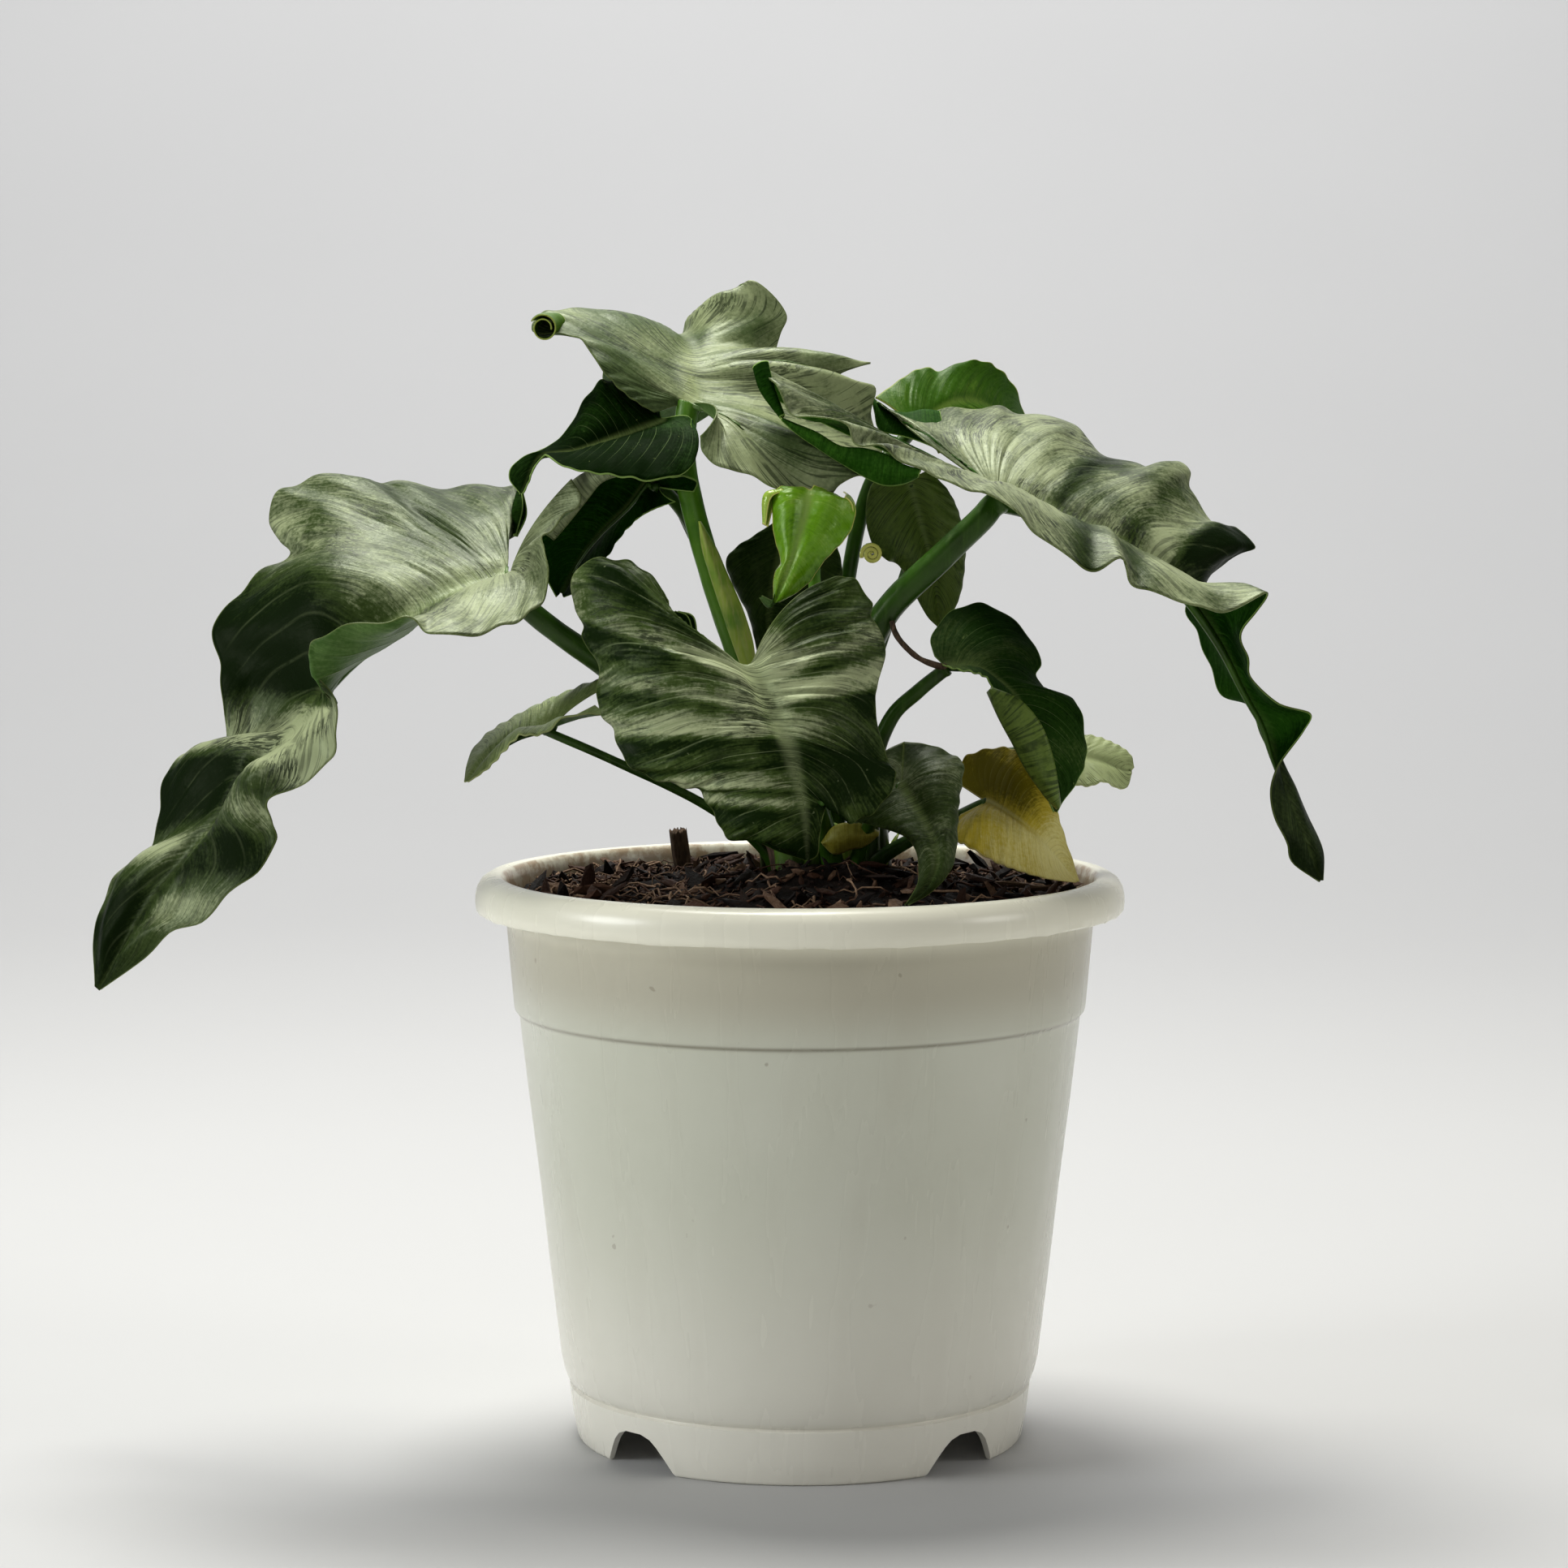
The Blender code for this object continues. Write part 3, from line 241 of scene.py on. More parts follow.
def leafMaterial(name, look):
    # leafMap holds lateral vein number, distance from the midrib in its own half
    # widths, and distance from the margin in mm; leafTonePaintedLight runs from dark 0 to silvery
    # 1: the leaf's own tone with painted shade at the low end and painted sheen at the high end
    look = {**plainLook, **look}
    tree, shader, material = newMaterial(name, Specular_Tint=(0.86, 1.0, 0.6, 1.0))
    parts = partsOf(tree, attributeOf(tree, "leafMap", "Vector"))
    tone = attributeOf(tree, "leafTonePaintedLight")
    coords = objectCoords(tree)
    broad = noiseOf(tree, coords, 26, 3)
    patchy = noiseOf(tree, coords, 95, 5, 0.6, 0.4)
    fine = noiseOf(tree, coords, 900, 3)
    wrinkles = noiseOf(tree, coords, 240, 4, 0.6, 0.6)

    def alongVeins(rate, reach, drift):  # coordinates that run out along the side veins
        return addNode(tree, "ShaderNodeCombineXYZ", {
            0: maths(tree, "MULTIPLY", parts["X"], rate),
            1: maths(tree, "MULTIPLY", parts["Z"], reach),
            2: maths(tree, "MULTIPLY", broad, drift)}).outputs[0]

    longVeins = alongVeins(7.5, 0.05, 2.0)
    streaks = noiseOf(tree, longVeins, 1.0, 5, 0.62, 0.3)
    hairs = noiseOf(tree, longVeins, 0.5, 2, 0.45, 0.5)
    dashes = noiseOf(tree, alongVeins(13.0, 0.22, 9.0), 1.0, 4, 0.65, 0.5)
    # painted shade: dark dashes in the crinkles along the side veins
    strokes = maths(tree, "MULTIPLY", spread(tree, dashes, 0.47, 0.56), spread(
        tree, noiseOf(tree, coords, 44, 3, 0.5, 0.5), 0.5, 0.6))
    # painted shade: dark lines along the creases, their amount set by lines
    creaseShade = maths(tree, "MULTIPLY", spread(tree, maths(tree, "ABSOLUTE", maths(
        tree, "SUBTRACT", hairs, 0.5)), 0.06, 0.015), spread(tree, patchy, 0.4, 0.54))
    nearVein = maths(tree, "MULTIPLY", maths(tree, "ABSOLUTE", maths(
        tree, "SUBTRACT", maths(tree, "FRACT", parts["X"]), 0.5)), 2.0)
    veins = maths(tree, "MULTIPLY", spread(tree, nearVein, look["veinStart"], 1.0),
                  spread(tree, parts["Z"], 1.0, 16.0))
    midrib = maths(tree, "MULTIPLY", spread(tree, parts["Y"], 2.6, 0.0),
                   spread(tree, parts["X"], 57.0, 45.0, 0.15, 1.0))
    specks = spread(tree, noiseOf(tree, coords, 520, 2, 0.4), 0.73, 0.8)
    margin = spread(tree, maths(tree, "ADD", parts["Z"], maths(
        tree, "MULTIPLY", patchy, 0.3)), 0.6, 0.3)

    for part, amount in ((streaks, look["streakShow"]), (patchy, look["mottle"]), (fine, 0.45),
                         (dashes, look["dashShow"])):
        tone = maths(tree, "ADD", tone, maths(tree, "MULTIPLY", maths(
            tree, "SUBTRACT", part, 0.5), amount))
    tree.links.new(spread(tree, tone, 0.0, 0.8, 0.12 * look["shine"], look["shine"]),
                   shader.inputs["Specular IOR Level"])
    # tone picks dark (partly painted shade), mid, and light (painted sheen over the leaf's own
    # colour)
    colour = blendColour(tree, spread(tree, tone, 0.0, 0.5), look["dark"], look["mid"])
    colour = blendColour(tree, spread(tree, tone, 0.45, 1.0), colour, look["light"])
    for mask, show, tint in ((veins, "veinShow", "vein"), (midrib, "ribShow", "rib"),
                             (creaseShade, "lines", "dark"), (strokes, "strokeShow", "dark"),
                             (specks, "specks", "rib"), (margin, "edgeShow", "edge")):
        colour = blendColour(tree, maths(tree, "MULTIPLY", mask, look[show]), colour, look[tint])
    bump = None
    for height, strength, distance in (
            (fine, 0.25, 0.0002), (wrinkles, look["wrinkle"], 0.0006),
            (streaks, look["streakBump"], 0.0012), (dashes, look["streakBump"], 0.0005),
            (creaseShade, -0.5, 0.0004), (veins, look["veinBump"], 0.0004)):
        bump = bumpOf(tree, height, strength, distance, bump)
    plugIn(tree, shader, colour, bump,
           spread(tree, patchy, 0.3, 0.75, look["roughLow"], look["roughHigh"]))
    return material


plainLook = dict(vein=(0.09, 0.13, 0.035), rib=(0.17, 0.23, 0.07), edge=(0.13, 0.17, 0.05),
                 mottle=0.55, veinShow=0.25, ribShow=0.6, specks=0.08, edgeShow=0.6, lines=0.75,
                 veinStart=0.85, shine=0.3, roughLow=0.35, roughHigh=0.52, wrinkle=0.3,
                 streakShow=0.5, streakBump=0.12, veinBump=-0.3, dashShow=0.7, strokeShow=0.0)
# in each look, light is painted sheen (on pale leaves also their own pale colour) and dark is
# partly painted shade
leafLooks = {
    "darkTop": dict(dark=(0.004, 0.010, 0.0018), mid=(0.029, 0.05, 0.009),
                    light=(0.3, 0.342, 0.185), strokeShow=0.9, vein=(0.12, 0.15, 0.07),
                    streakShow=0.4, lines=0.5),
    "frontTop": dict(dark=(0.005, 0.014, 0.0018), mid=(0.046, 0.076, 0.015),
                     light=(0.38, 0.425, 0.235), strokeShow=0.85, vein=(0.24, 0.3, 0.14),
                     rib=(0.34, 0.4, 0.2), specks=0.3, ribShow=0.65, veinShow=0.5, lines=0.5,
                     veinStart=0.9, mottle=0.9, streakShow=0.8),
    "silverTop": dict(dark=(0.006, 0.016, 0.003), mid=(0.07, 0.105, 0.035),
                      light=(0.29, 0.335, 0.17), strokeShow=0.7, streakShow=0.2,
                      rib=(0.36, 0.42, 0.17), ribShow=0.7, dashShow=0.25, mottle=0.35,
                      shine=0.24, streakBump=0.05, lines=0.7),
    "darkUnder": dict(dark=(0.01, 0.035, 0.004), mid=(0.035, 0.09, 0.012),
                      light=(0.1, 0.18, 0.045), shine=0.35, roughLow=0.45, roughHigh=0.6,
                      lines=0.2, streakShow=0.4, veinShow=0.4, veinBump=0.5),
    "deepTop": dict(dark=(0.0025, 0.01, 0.0008), mid=(0.012, 0.042, 0.003),
                    light=(0.11, 0.16, 0.045), vein=(0.13, 0.19, 0.07), veinShow=0.6,
                    edge=(0.2, 0.3, 0.08), edgeShow=1.0, veinStart=0.93, lines=0.3,
                    streakShow=0.4, shine=0.1, roughLow=0.6, roughHigh=0.8, specks=0.5),
    "deepUnder": dict(dark=(0.002, 0.013, 0.0006), mid=(0.009, 0.048, 0.0015),
                      edge=(0.22, 0.36, 0.08), edgeShow=1.0,
                      light=(0.04, 0.13, 0.01), vein=(0.04, 0.1, 0.015), veinShow=0.3,
                      veinStart=0.92, lines=0.2, streakShow=0.4, shine=0.1, roughLow=0.6,
                      roughHigh=0.8),
    "brightTop": dict(dark=(0.012, 0.045, 0.001), mid=(0.035, 0.11, 0.0025),
                      light=(0.1, 0.2, 0.012), vein=(0.1, 0.2, 0.02), rib=(0.2, 0.32, 0.05),
                      edge=(0.42, 0.46, 0.1), lines=0.3, shine=0.25, veinStart=0.9),
    "limeTop": dict(dark=(0.03, 0.11, 0.001), mid=(0.13, 0.31, 0.006), light=(0.36, 0.52, 0.06),
                    vein=(0.3, 0.45, 0.08), rib=(0.45, 0.58, 0.18), edge=(0.62, 0.62, 0.14),
                    lines=0.1, veinShow=0.12, streakShow=0.4, ribShow=0.4, shine=0.8,
                    roughLow=0.16, roughHigh=0.3, edgeShow=1.0),
    "paleTop": dict(dark=(0.05, 0.075, 0.015), mid=(0.24, 0.31, 0.11), light=(0.56, 0.64, 0.3),
                    vein=(0.32, 0.38, 0.2), rib=(0.35, 0.4, 0.2), edge=(0.42, 0.46, 0.2),
                    specks=0.3),
    "yellowTop": dict(dark=(0.12, 0.1, 0.004), mid=(0.5, 0.39, 0.035), light=(0.74, 0.67, 0.26),
                      vein=(0.5, 0.46, 0.16), rib=(0.55, 0.5, 0.2), edge=(0.6, 0.52, 0.2),
                      lines=0.12, shine=0.2, roughLow=0.4, roughHigh=0.55),
    "oliveTop": dict(dark=(0.06, 0.055, 0.004), mid=(0.15, 0.13, 0.012), light=(0.26, 0.25, 0.04),
                     vein=(0.24, 0.24, 0.06), rib=(0.35, 0.33, 0.1), edge=(0.4, 0.36, 0.1),
                     lines=0.2, shine=0.35, roughLow=0.4, roughHigh=0.55),
    "oliveGreen": dict(dark=(0.008, 0.022, 0.003), mid=(0.03, 0.06, 0.008),
                       light=(0.12, 0.18, 0.03), shine=0.35, streakShow=0.4),
}
leafFinish = {name: leafMaterial(name, look) for name, look in leafLooks.items()}
print("leaf materials made")


blade = {  # shared by every leaf, in mm on the blade unless a share
    "drift": 19, "patch": 13, "swell": 26,  # how far apart the veins' drift and the swells lie
    "valley": 0.14,  # share of the half width that the round valley takes
    "fan": 17,  # reach of the pale fan round the joint
    "calmEdge": 9.0, "calmRib": 6.0,  # folds die out towards the margin and the midrib
    "narrow": 30,  # a half narrower than this is ruffled less
    "ribEnd": 19.2,  # row where the raised midrib stops
}


def makeLeaf(name, shape):
    # a grid is drawn over the midrib and the two margins, then veined and ruffled
    columns, rowCount = shape["grid"]
    across = np.linspace(-1, 1, columns + 1)
    u = np.abs(across)
    points = np.zeros((rowCount + 1, columns + 1, 3))
    for j in range(rowCount + 1):
        row = lastRow * j / rowCount
        inner = curveAt(shape["midrib"], row)
        for side, chosen in (("left", across < 0), ("right", across >= 0)):
            reach = u[chosen][:, None]
            bow = curveAt(shape[side + "Arch"], row) * 4 * reach * (1 - reach)
            points[j, chosen] = inner + (curveAt(shape[side], row) - inner) * reach + bow
    rows = np.linspace(0, lastRow, rowCount + 1)[:, None]
    near = np.exp(-(u / blade["valley"]) ** 2)[None, 1:-1, None]
    for _ in range(shape.get("softening", 4)):  # the halves meet in a round valley
        beside = (points[:, :-2] + points[:, 2:]) / 2
        points[:, 1:-1] += (beside - points[:, 1:-1]) * 0.8 * near
    stepAcross = np.linalg.norm(np.diff(points, axis=1), axis=2)
    travelled = np.concatenate([np.zeros((rowCount + 1, 1)), np.cumsum(stepAcross, 1)], 1)
    middle = columns // 2
    fromRib = np.abs(travelled - travelled[:, middle:middle + 1])
    toMargin = np.where(across < 0, travelled, travelled[:, -1:] - travelled)
    stepAlong = np.linalg.norm(np.diff(points, axis=0), axis=2)
    fromSinus = np.concatenate([np.zeros((1, columns + 1)), np.cumsum(stepAlong, 0)], 0)
    toEdge = np.minimum(toMargin, fromSinus)

    normal = np.cross(np.gradient(points, axis=1), np.gradient(points, axis=0))
    for _ in range(6):  # the sinus rows share a point, so normals are shared there too
        normal = (normal + np.roll(normal, 1, 0) + np.roll(normal, -1, 0)
                  + np.roll(normal, 1, 1) + np.roll(normal, -1, 1)) / 5
    normal /= np.maximum(np.linalg.norm(normal, axis=2, keepdims=True), 1e-9)

    veinNumber = (rows - shape["sweep"] * u ** 1.5) * shape["veinRate"]
    drift = np.zeros_like(veinNumber)
    patch = np.zeros_like(veinNumber)
    swell = np.zeros_like(veinNumber)
    for j in range(rowCount + 1):
        for i in range(columns + 1):
            spot = Vector(points[j, i])
            drift[j, i] = noise.noise(spot / blade["drift"])
            patch[j, i] = noise.noise(spot / blade["patch"] + Vector((7, 3, 1)))
            swell[j, i] = noise.noise(spot / blade["swell"] + Vector((2, 9, 4)))
    veinNumber = veinNumber + 0.35 * drift
    wrinkle = np.zeros_like(veinNumber)
    for j in range(rowCount + 1):
        for i in range(columns + 1):
            away = fromRib[j, i]
            spot = Vector((veinNumber[j, i] * 3.1, away / 34, across[i] * 0.5))
            wrinkle[j, i] = 0.5 - 2.2 * abs(noise.noise(spot))
            spot = Vector((veinNumber[j, i] * 8.3, away / 18, 5 + across[i]))
            wrinkle[j, i] += 0.5 * noise.noise(spot)
    tone, wave = bladeToneAndPaintedLight(shape, rows, across, stepAlong.mean())
    fromJoint = np.linalg.norm(points - curveAt(shape["midrib"], joinRow), axis=2)
    tone += shape.get("fan", 0.0) * np.exp(-(fromJoint / blade["fan"]) ** 2) + 0.25 * patch
    width = np.maximum(travelled[:, -1:] / 2, 0.5)
    inside = ramp(toEdge, 0.0, blade["calmEdge"]) * ramp(fromRib, 0.5, blade["calmRib"])
    size = np.clip(width / blade["narrow"], 0.12, 1.0)
    nearVein = np.abs((veinNumber % 1.0) - 0.5) * 2
    pillow = 1 - nearVein ** 3
    crease = wrinkle * (0.3 + 0.9 * ramp(patch, -0.1, 0.4))
    ripple = (np.sin(rows * shape["ruffleRate"] + 2.2 * np.sign(across) + 2 * drift)
              * u ** 4 * shape["ruffle"] * ramp(rows, 0.0, 2.0))
    channel = np.exp(-(fromRib / (0.09 * width + 0.6)) ** 2) * ramp(toEdge, 0, 4)
    lift = (shape["pleat"] * pillow * inside * size + shape["crease"] * crease * inside
            + (shape["swell"] * swell + wave) * inside + ripple * size
            - shape["groove"] * channel)
    points = points + normal * lift[..., None]

    ribHalf = np.interp(rows[:, 0], [0, joinRow, lastRow], shape["ribWidth"])[:, None]
    mesh = bmesh.new()
    layer = mesh.verts.layers.float_vector.new("leafMap")
    toneLayer = mesh.verts.layers.float.new("leafTonePaintedLight")
    bmesh.ops.create_grid(mesh, x_segments=columns, y_segments=rowCount, size=1.0)
    for vert in mesh.verts:
        i = round((vert.co.x + 1) / 2 * columns)
        j = round((vert.co.y + 1) / 2 * rowCount)
        vert.co = place(points[j, i])
        vert[layer] = Vector((veinNumber[j, i] + 40, fromRib[j, i] / ribHalf[j, 0], toEdge[j, i]))
        vert[toneLayer] = tone[j, i]
    materials = [leafFinish[shape["top"]], leafFinish[shape.get("under", "darkUnder")]]
    piece = finishPiece(name, mesh, materials, shape["node"])
    giveThickness(piece, shape["thickness"], offset=-1, under=True)
    makeRib(name, shape, points, rows[:, 0], normal)
    print(name, "made")


def bladeToneAndPaintedLight(shape, rows, across, step):
    # painted bands of shade and silvery sheen down each half, on the yellow leaf also its own
    # colour, and the swells they lie on
    u = np.abs(across)[None, :]
    tone = np.full((len(rows), len(across)), shape.get("tone", 0.35))
    wave = np.zeros_like(tone)
    sides = []
    for side in ("left", "right"):
        if side + "Tone" not in shape:
            return tone, wave
        at, values = zip(*shape[side + "Tone"])
        line = np.interp(rows[:, 0], at, values)
        span = len(rows) // 5
        padded = np.pad(line, span, mode="edge")
        mean = np.convolve(padded, np.ones(2 * span + 1) / (2 * span + 1), mode="valid")
        raised = np.cumsum(line - mean) * step
        sides.append((line[:, None], raised[:, None]))
    own = 0.5 + 0.5 * ramp(u, 0.0, 0.3)
    leftShare = np.where(across[None, :] < 0, own, 1 - own)
    for (left, right), out in zip(zip(*sides), (tone, wave)):
        out[:] = left * leftShare + right * (1 - leftShare)
    return tone, wave * 4 * u * (1 - u) * shape.get("bandLift", 0.8)


def makeRib(name, shape, points, rows, normal):
    # midrib raised on the underside only, from the stalk to near the tip
    middle = points.shape[1] // 2
    picks = [j for j in range(len(rows)) if shape["ribFrom"] <= rows[j] <= blade["ribEnd"]][::4]
    start, end = shape["ribRadius"]
    line, radii = [], []
    for count, j in enumerate(picks):
        share = count / (len(picks) - 1)
        radius = start + (end - start) * share ** 0.7
        line.append(place(points[j, middle] - normal[j, middle] * (radius + 0.3)))
        radii.append(radius * mm)
    mesh = bmesh.new()
    layer = mesh.verts.layers.float_vector.new("stalkMap")
    addTube(mesh, line, radii, 8)
    for vert in mesh.verts:
        vert[layer] = Vector((0.5, 0.0, 1.0))
    finishPiece(name + "Rib", mesh, [stalkFinish])


def makeStalkFinish(name, dark, mid, pale):
    # stalkMap holds the share along the stalk, the share round it and its radius
    tree, shader, material = newMaterial(name, Specular_IOR_Level=0.4,
                                         Specular_Tint=(0.9, 1.0, 0.7, 1.0))
    parts = partsOf(tree, attributeOf(tree, "stalkMap", "Vector"))
    coords = objectCoords(tree)
    streaks = noiseOf(tree, stretched(tree, coords, (1.0, 1.0, 0.16)), 420, 4, 0.6)
    broad = noiseOf(tree, coords, 60, 3)
    dots = noiseOf(tree, coords, 1100, 2, 0.4)
    colour = blendColour(tree, spread(tree, broad, 0.3, 0.7), dark, mid)
    # painted shade: the stalk darkens towards its foot near the soil
    colour = blendColour(tree, spread(tree, parts["X"], 0.16, 0.0), colour, (0.022, 0.018, 0.007))
    colour = blendColour(tree, spread(tree, streaks, 0.5, 0.8, 0.0, 0.5), colour, pale)
    colour = blendColour(tree, spread(tree, dots, 0.68, 0.78, 0.0, 0.3), colour, pale)
    bump = bumpOf(tree, dots, 0.2, 0.0002, bumpOf(tree, streaks, 0.25, 0.0004))
    plugIn(tree, shader, colour, bump, spread(tree, streaks, 0.3, 0.7, 0.28, 0.45))
    return material


def makeDryFinish():
    # papery old sheaths, roots and the wood stick
    tree, shader, material = newMaterial("dryBrown", 0.85, Specular_IOR_Level=0.25)
    coords = objectCoords(tree)
    grain = noiseOf(tree, stretched(tree, coords, (1.0, 1.0, 0.2)), 700, 5, 0.65)
    patches = noiseOf(tree, coords, 150, 3)
    colour = blendColour(tree, spread(tree, grain, 0.3, 0.7), (0.035, 0.022, 0.014),
                         (0.15, 0.095, 0.06))
    colour = blendColour(tree, spread(tree, patches, 0.55, 0.75, 0.0, 0.5), colour,
                         (0.24, 0.17, 0.11))
    plugIn(tree, shader, colour, bumpOf(tree, grain, 0.6, 0.0006))
    return material


stalkFinish = makeStalkFinish("stalkGreen", (0.009, 0.032, 0.0015), (0.028, 0.085, 0.004),
                              (0.08, 0.18, 0.018))
brightStalkFinish = makeStalkFinish("stalkBright", (0.05, 0.16, 0.006), (0.11, 0.28, 0.015),
                                    (0.2, 0.38, 0.05))
dryFinish = makeDryFinish()

stalkRing = {"middleX": 8, "radius": 15, "foot": 171.0}
stalkShape = {"flare": 0.45, "flareFades": 7, "knuckle": 0.12, "knuckleAt": 0.965,
              "knuckleLength": 0.03, "ridges": 5, "ridge": 0.05, "unevenness": 9}


def makeStalk(name, stalk):
    turn = math.radians(stalk["angle"])
    foot = (stalkRing["middleX"] + stalkRing["radius"] * math.cos(turn),
            stalkRing["radius"] * math.sin(turn), stalkRing["foot"])
    count = 12 * len(stalk["route"])
    line = routePoints([foot] + stalk["route"] + [stalk["joint"]], count)
    start, end = stalk["radii"]
    radii = []
    for i in range(count):
        share = i / (count - 1)
        height = (line[i] - line[0]).length / mm
        radius = start + (end - start) * share
        radius *= 1 + stalkShape["flare"] * math.exp(-height / stalkShape["flareFades"])
        away = (share - stalkShape["knuckleAt"]) / stalkShape["knuckleLength"]
        radius *= 1 + stalkShape["knuckle"] * math.exp(-away ** 2)  # joint under the blade
        radii.append(radius * mm)
    mesh = bmesh.new()
    layer = mesh.verts.layers.float_vector.new("stalkMap")
    addTube(mesh, line, radii, 16, layer)
    for vert in mesh.verts:  # low ridges and a shallow channel along the stalk
        if vert[layer].z > 0:
            middle = line[round(vert[layer].x * (count - 1))]
            out = vert.co - middle
            ridge = math.sin(vert[layer].y * 2 * math.pi * stalkShape["ridges"])
            ridge += noise.noise(vert.co / mm / stalkShape["unevenness"])
            vert.co = middle + out * (1 + stalkShape["ridge"] * ridge)
    finish = brightStalkFinish if stalk.get("bright") else stalkFinish
    finishPiece(name, mesh, [finish], stalk["node"])


bigBlade = {
    "slot": "leaf_dark", "top": "darkTop", "thickness": 0.5, "sweep": 2.2, "groove": 0.9,
    "ruffle": 0.7, "ruffleRate": 5.2,
}
smallBlade = {
    "slot": "leaf_dark", "top": "deepTop", "thickness": 0.5, "sweep": 2.6, "groove": 0.5,
    "ruffle": 0.5, "ruffleRate": 3.6, "veinRate": 0.9, "pleat": 0.25, "crease": 0.35,
    "swell": 0.6, "ribWidth": (0.6, 1.0, 0.3), "ribRadius": (1.5, 0.3), "ribFrom": 0,
}

leafLeft = {
    **bigBlade, "node": "leaf_left", "grid": (64, 300), "veinRate": 1.15, "pleat": 0.2,
    "crease": 0.22, "swell": 2.6, "ribWidth": (0.8, 2.6, 0.5), "ribRadius": (3.2, 0.5),
    "ribFrom": 5, "fan": 0.25,
    "leftTone": [(0, 0.75), (6, 0.8), (9, 0.8), (12, 0.5), (13, 0.35), (13.6, 1.0), (14.8, 1.25),
                 (15.5, 1.0), (16.2, 0.3), (16.8, 0.75), (17.2, 0.5), (17.6, 0.08), (18.2, 0.1),
                 (18.8, 0.8), (19.3, 0.5), (20, 0.2)],
    "rightTone": [(0, 0.55), (3, 0.55), (5, 0.5), (6, 0.3), (6.8, 0.55), (8, 0.6), (9.6, 0.75),
                  (10.6, 0.6), (11.2, 0.2), (12.1, -0.25), (13.1, -0.25), (13.7, 0.5),
                  (14.3, 1.25), (14.9, 1.1), (15.4, -0.1), (16.5, -0.1), (17.1, 0.5),
                  (17.7, 1.05), (18.3, 0.45), (18.8, -0.05), (20, 0.1)],
    "midrib": [(0, -89, -8, 266), (5, -91, -9, 266), (8, -103, -12, 263), (10, -117, -16, 257),
               (12, -136, -20, 243), (14, -152, -22, 225), (16, -169, -22, 204),
               (18, -188, -20, 182), (19, -201, -18, 166), (20, -215, -15, 141)],
    "left": [(0, -69, -22, 297), (1, -66, -24, 291), (2, -71, -28, 286), (3, -77, -32, 280),
             (3.7, -77, -36, 277), (4.4, -75, -40, 270), (5, -76, -46, 263), (5.6, -79, -50, 259),
             (6.3, -84, -54, 256), (7, -93, -58, 253), (7.8, -101, -60, 252),
             (8.5, -109, -60, 253), (9.2, -114, -58, 257), (10, -124, -58, 256),
             (10.8, -136, -56, 254), (11.5, -144, -54, 249), (12.2, -144, -52, 242),
             (13, -139, -52, 235), (13.8, -137, -52, 226), (14.6, -139, -50, 216),
             (15.3, -146, -48, 208), (16, -156, -46, 204), (16.5, -159, -44, 200),
             (17, -158, -44, 195), (17.4, -156, -44, 190), (18, -162, -42, 181),
             (18.6, -172, -38, 173), (19, -180, -34, 164), (19.3, -190, -30, 161),
             (19.6, -199, -24, 152), (20, -214, -15.5, 141)],
    "right": [(0, -88, 20, 279), (1, -86, 28, 284), (2, -88, 36, 292), (3, -97, 42, 294),
              (4, -112, 46, 293), (5, -129, 46, 295), (6, -138, 45, 295), (6.5, -145, 44, 298),
              (7.5, -157, 41, 295), (8.3, -165, 38, 291), (9, -167, 33, 283),
              (9.6, -162, 26, 276), (10, -159, 22, 273), (10.7, -167, 20, 268),
              (11.5, -177, 16, 258), (12, -182, 12, 249), (12.8, -179, 6, 238),
              (13.6, -178, 2, 226), (14.2, -178, 0, 213), (14.8, -191, 4, 212),
              (15.4, -196, 4, 205), (16.2, -198, 0, 194), (17, -199, -4, 184),
              (17.6, -207, -3, 179), (18.3, -214, -4, 169), (19.2, -217, -8, 155),
              (20, -216, -14.5, 142)],
    "leftArch": [(0, -3, 0, 0), (4, 0, 0, 3), (8, 0, 0, 3), (10, 0, -8, -9), (12, 0, -8, -9),
                 (14, 0, -4, 2), (20, 0, 0, 0)],
    "rightArch": [(0, -5, 0, 0), (3, 0, 0, 3), (12, 0, 2, 4), (20, 0, 0, 0)],
}
makeLeaf("leafLeft", leafLeft)

leafLeftInner = {
    **smallBlade, "node": "leaf_left_inner", "grid": (40, 120), "tone": 0.15,
    "under": "deepUnder",
    "midrib": [(0, -43, -3, 294), (5, -43.6, -3, 294.5), (9, -47, -3, 296), (12, -53, -4, 288),
               (15, -61, -4, 280), (18, -68, -4, 271), (20, -73, -4, 262)],
    "left": [(0, -32, -15, 293), (1, -31, -16, 296), (2, -34, -16.5, 297.8), (5, -42, -16, 297.8),
             (8, -49, -15, 300.7), (10, -57, -15, 300), (12, -63, -12, 299), (13.5, -68, -8, 296),
             (15, -75, -6, 289), (16.5, -79, -4, 282), (18, -79.5, -3, 274), (19, -78, -3, 267),
             (20, -74.6, -3.5, 260.5)],
    "right": [(0, -37.6, -11.4, 290), (2, -41.6, -7, 288.5), (5, -46, 2, 286.5), (8, -50, 6, 284),
              (11, -55, 8, 279), (13, -59, 9, 273.5), (16, -63, 8, 268), (18.5, -69, 4, 262),
              (20, -72.6, -3, 260.5)],
    "leftArch": [(0, -2, -2, 0), (6, 0, 0, 2), (20, 0, 0, 0)],
    "rightArch": [(0, -1, -1, 0), (10, 0, 2, 2), (20, 0, 0, 0)],
}
makeLeaf("leafLeftInner", leafLeftInner)

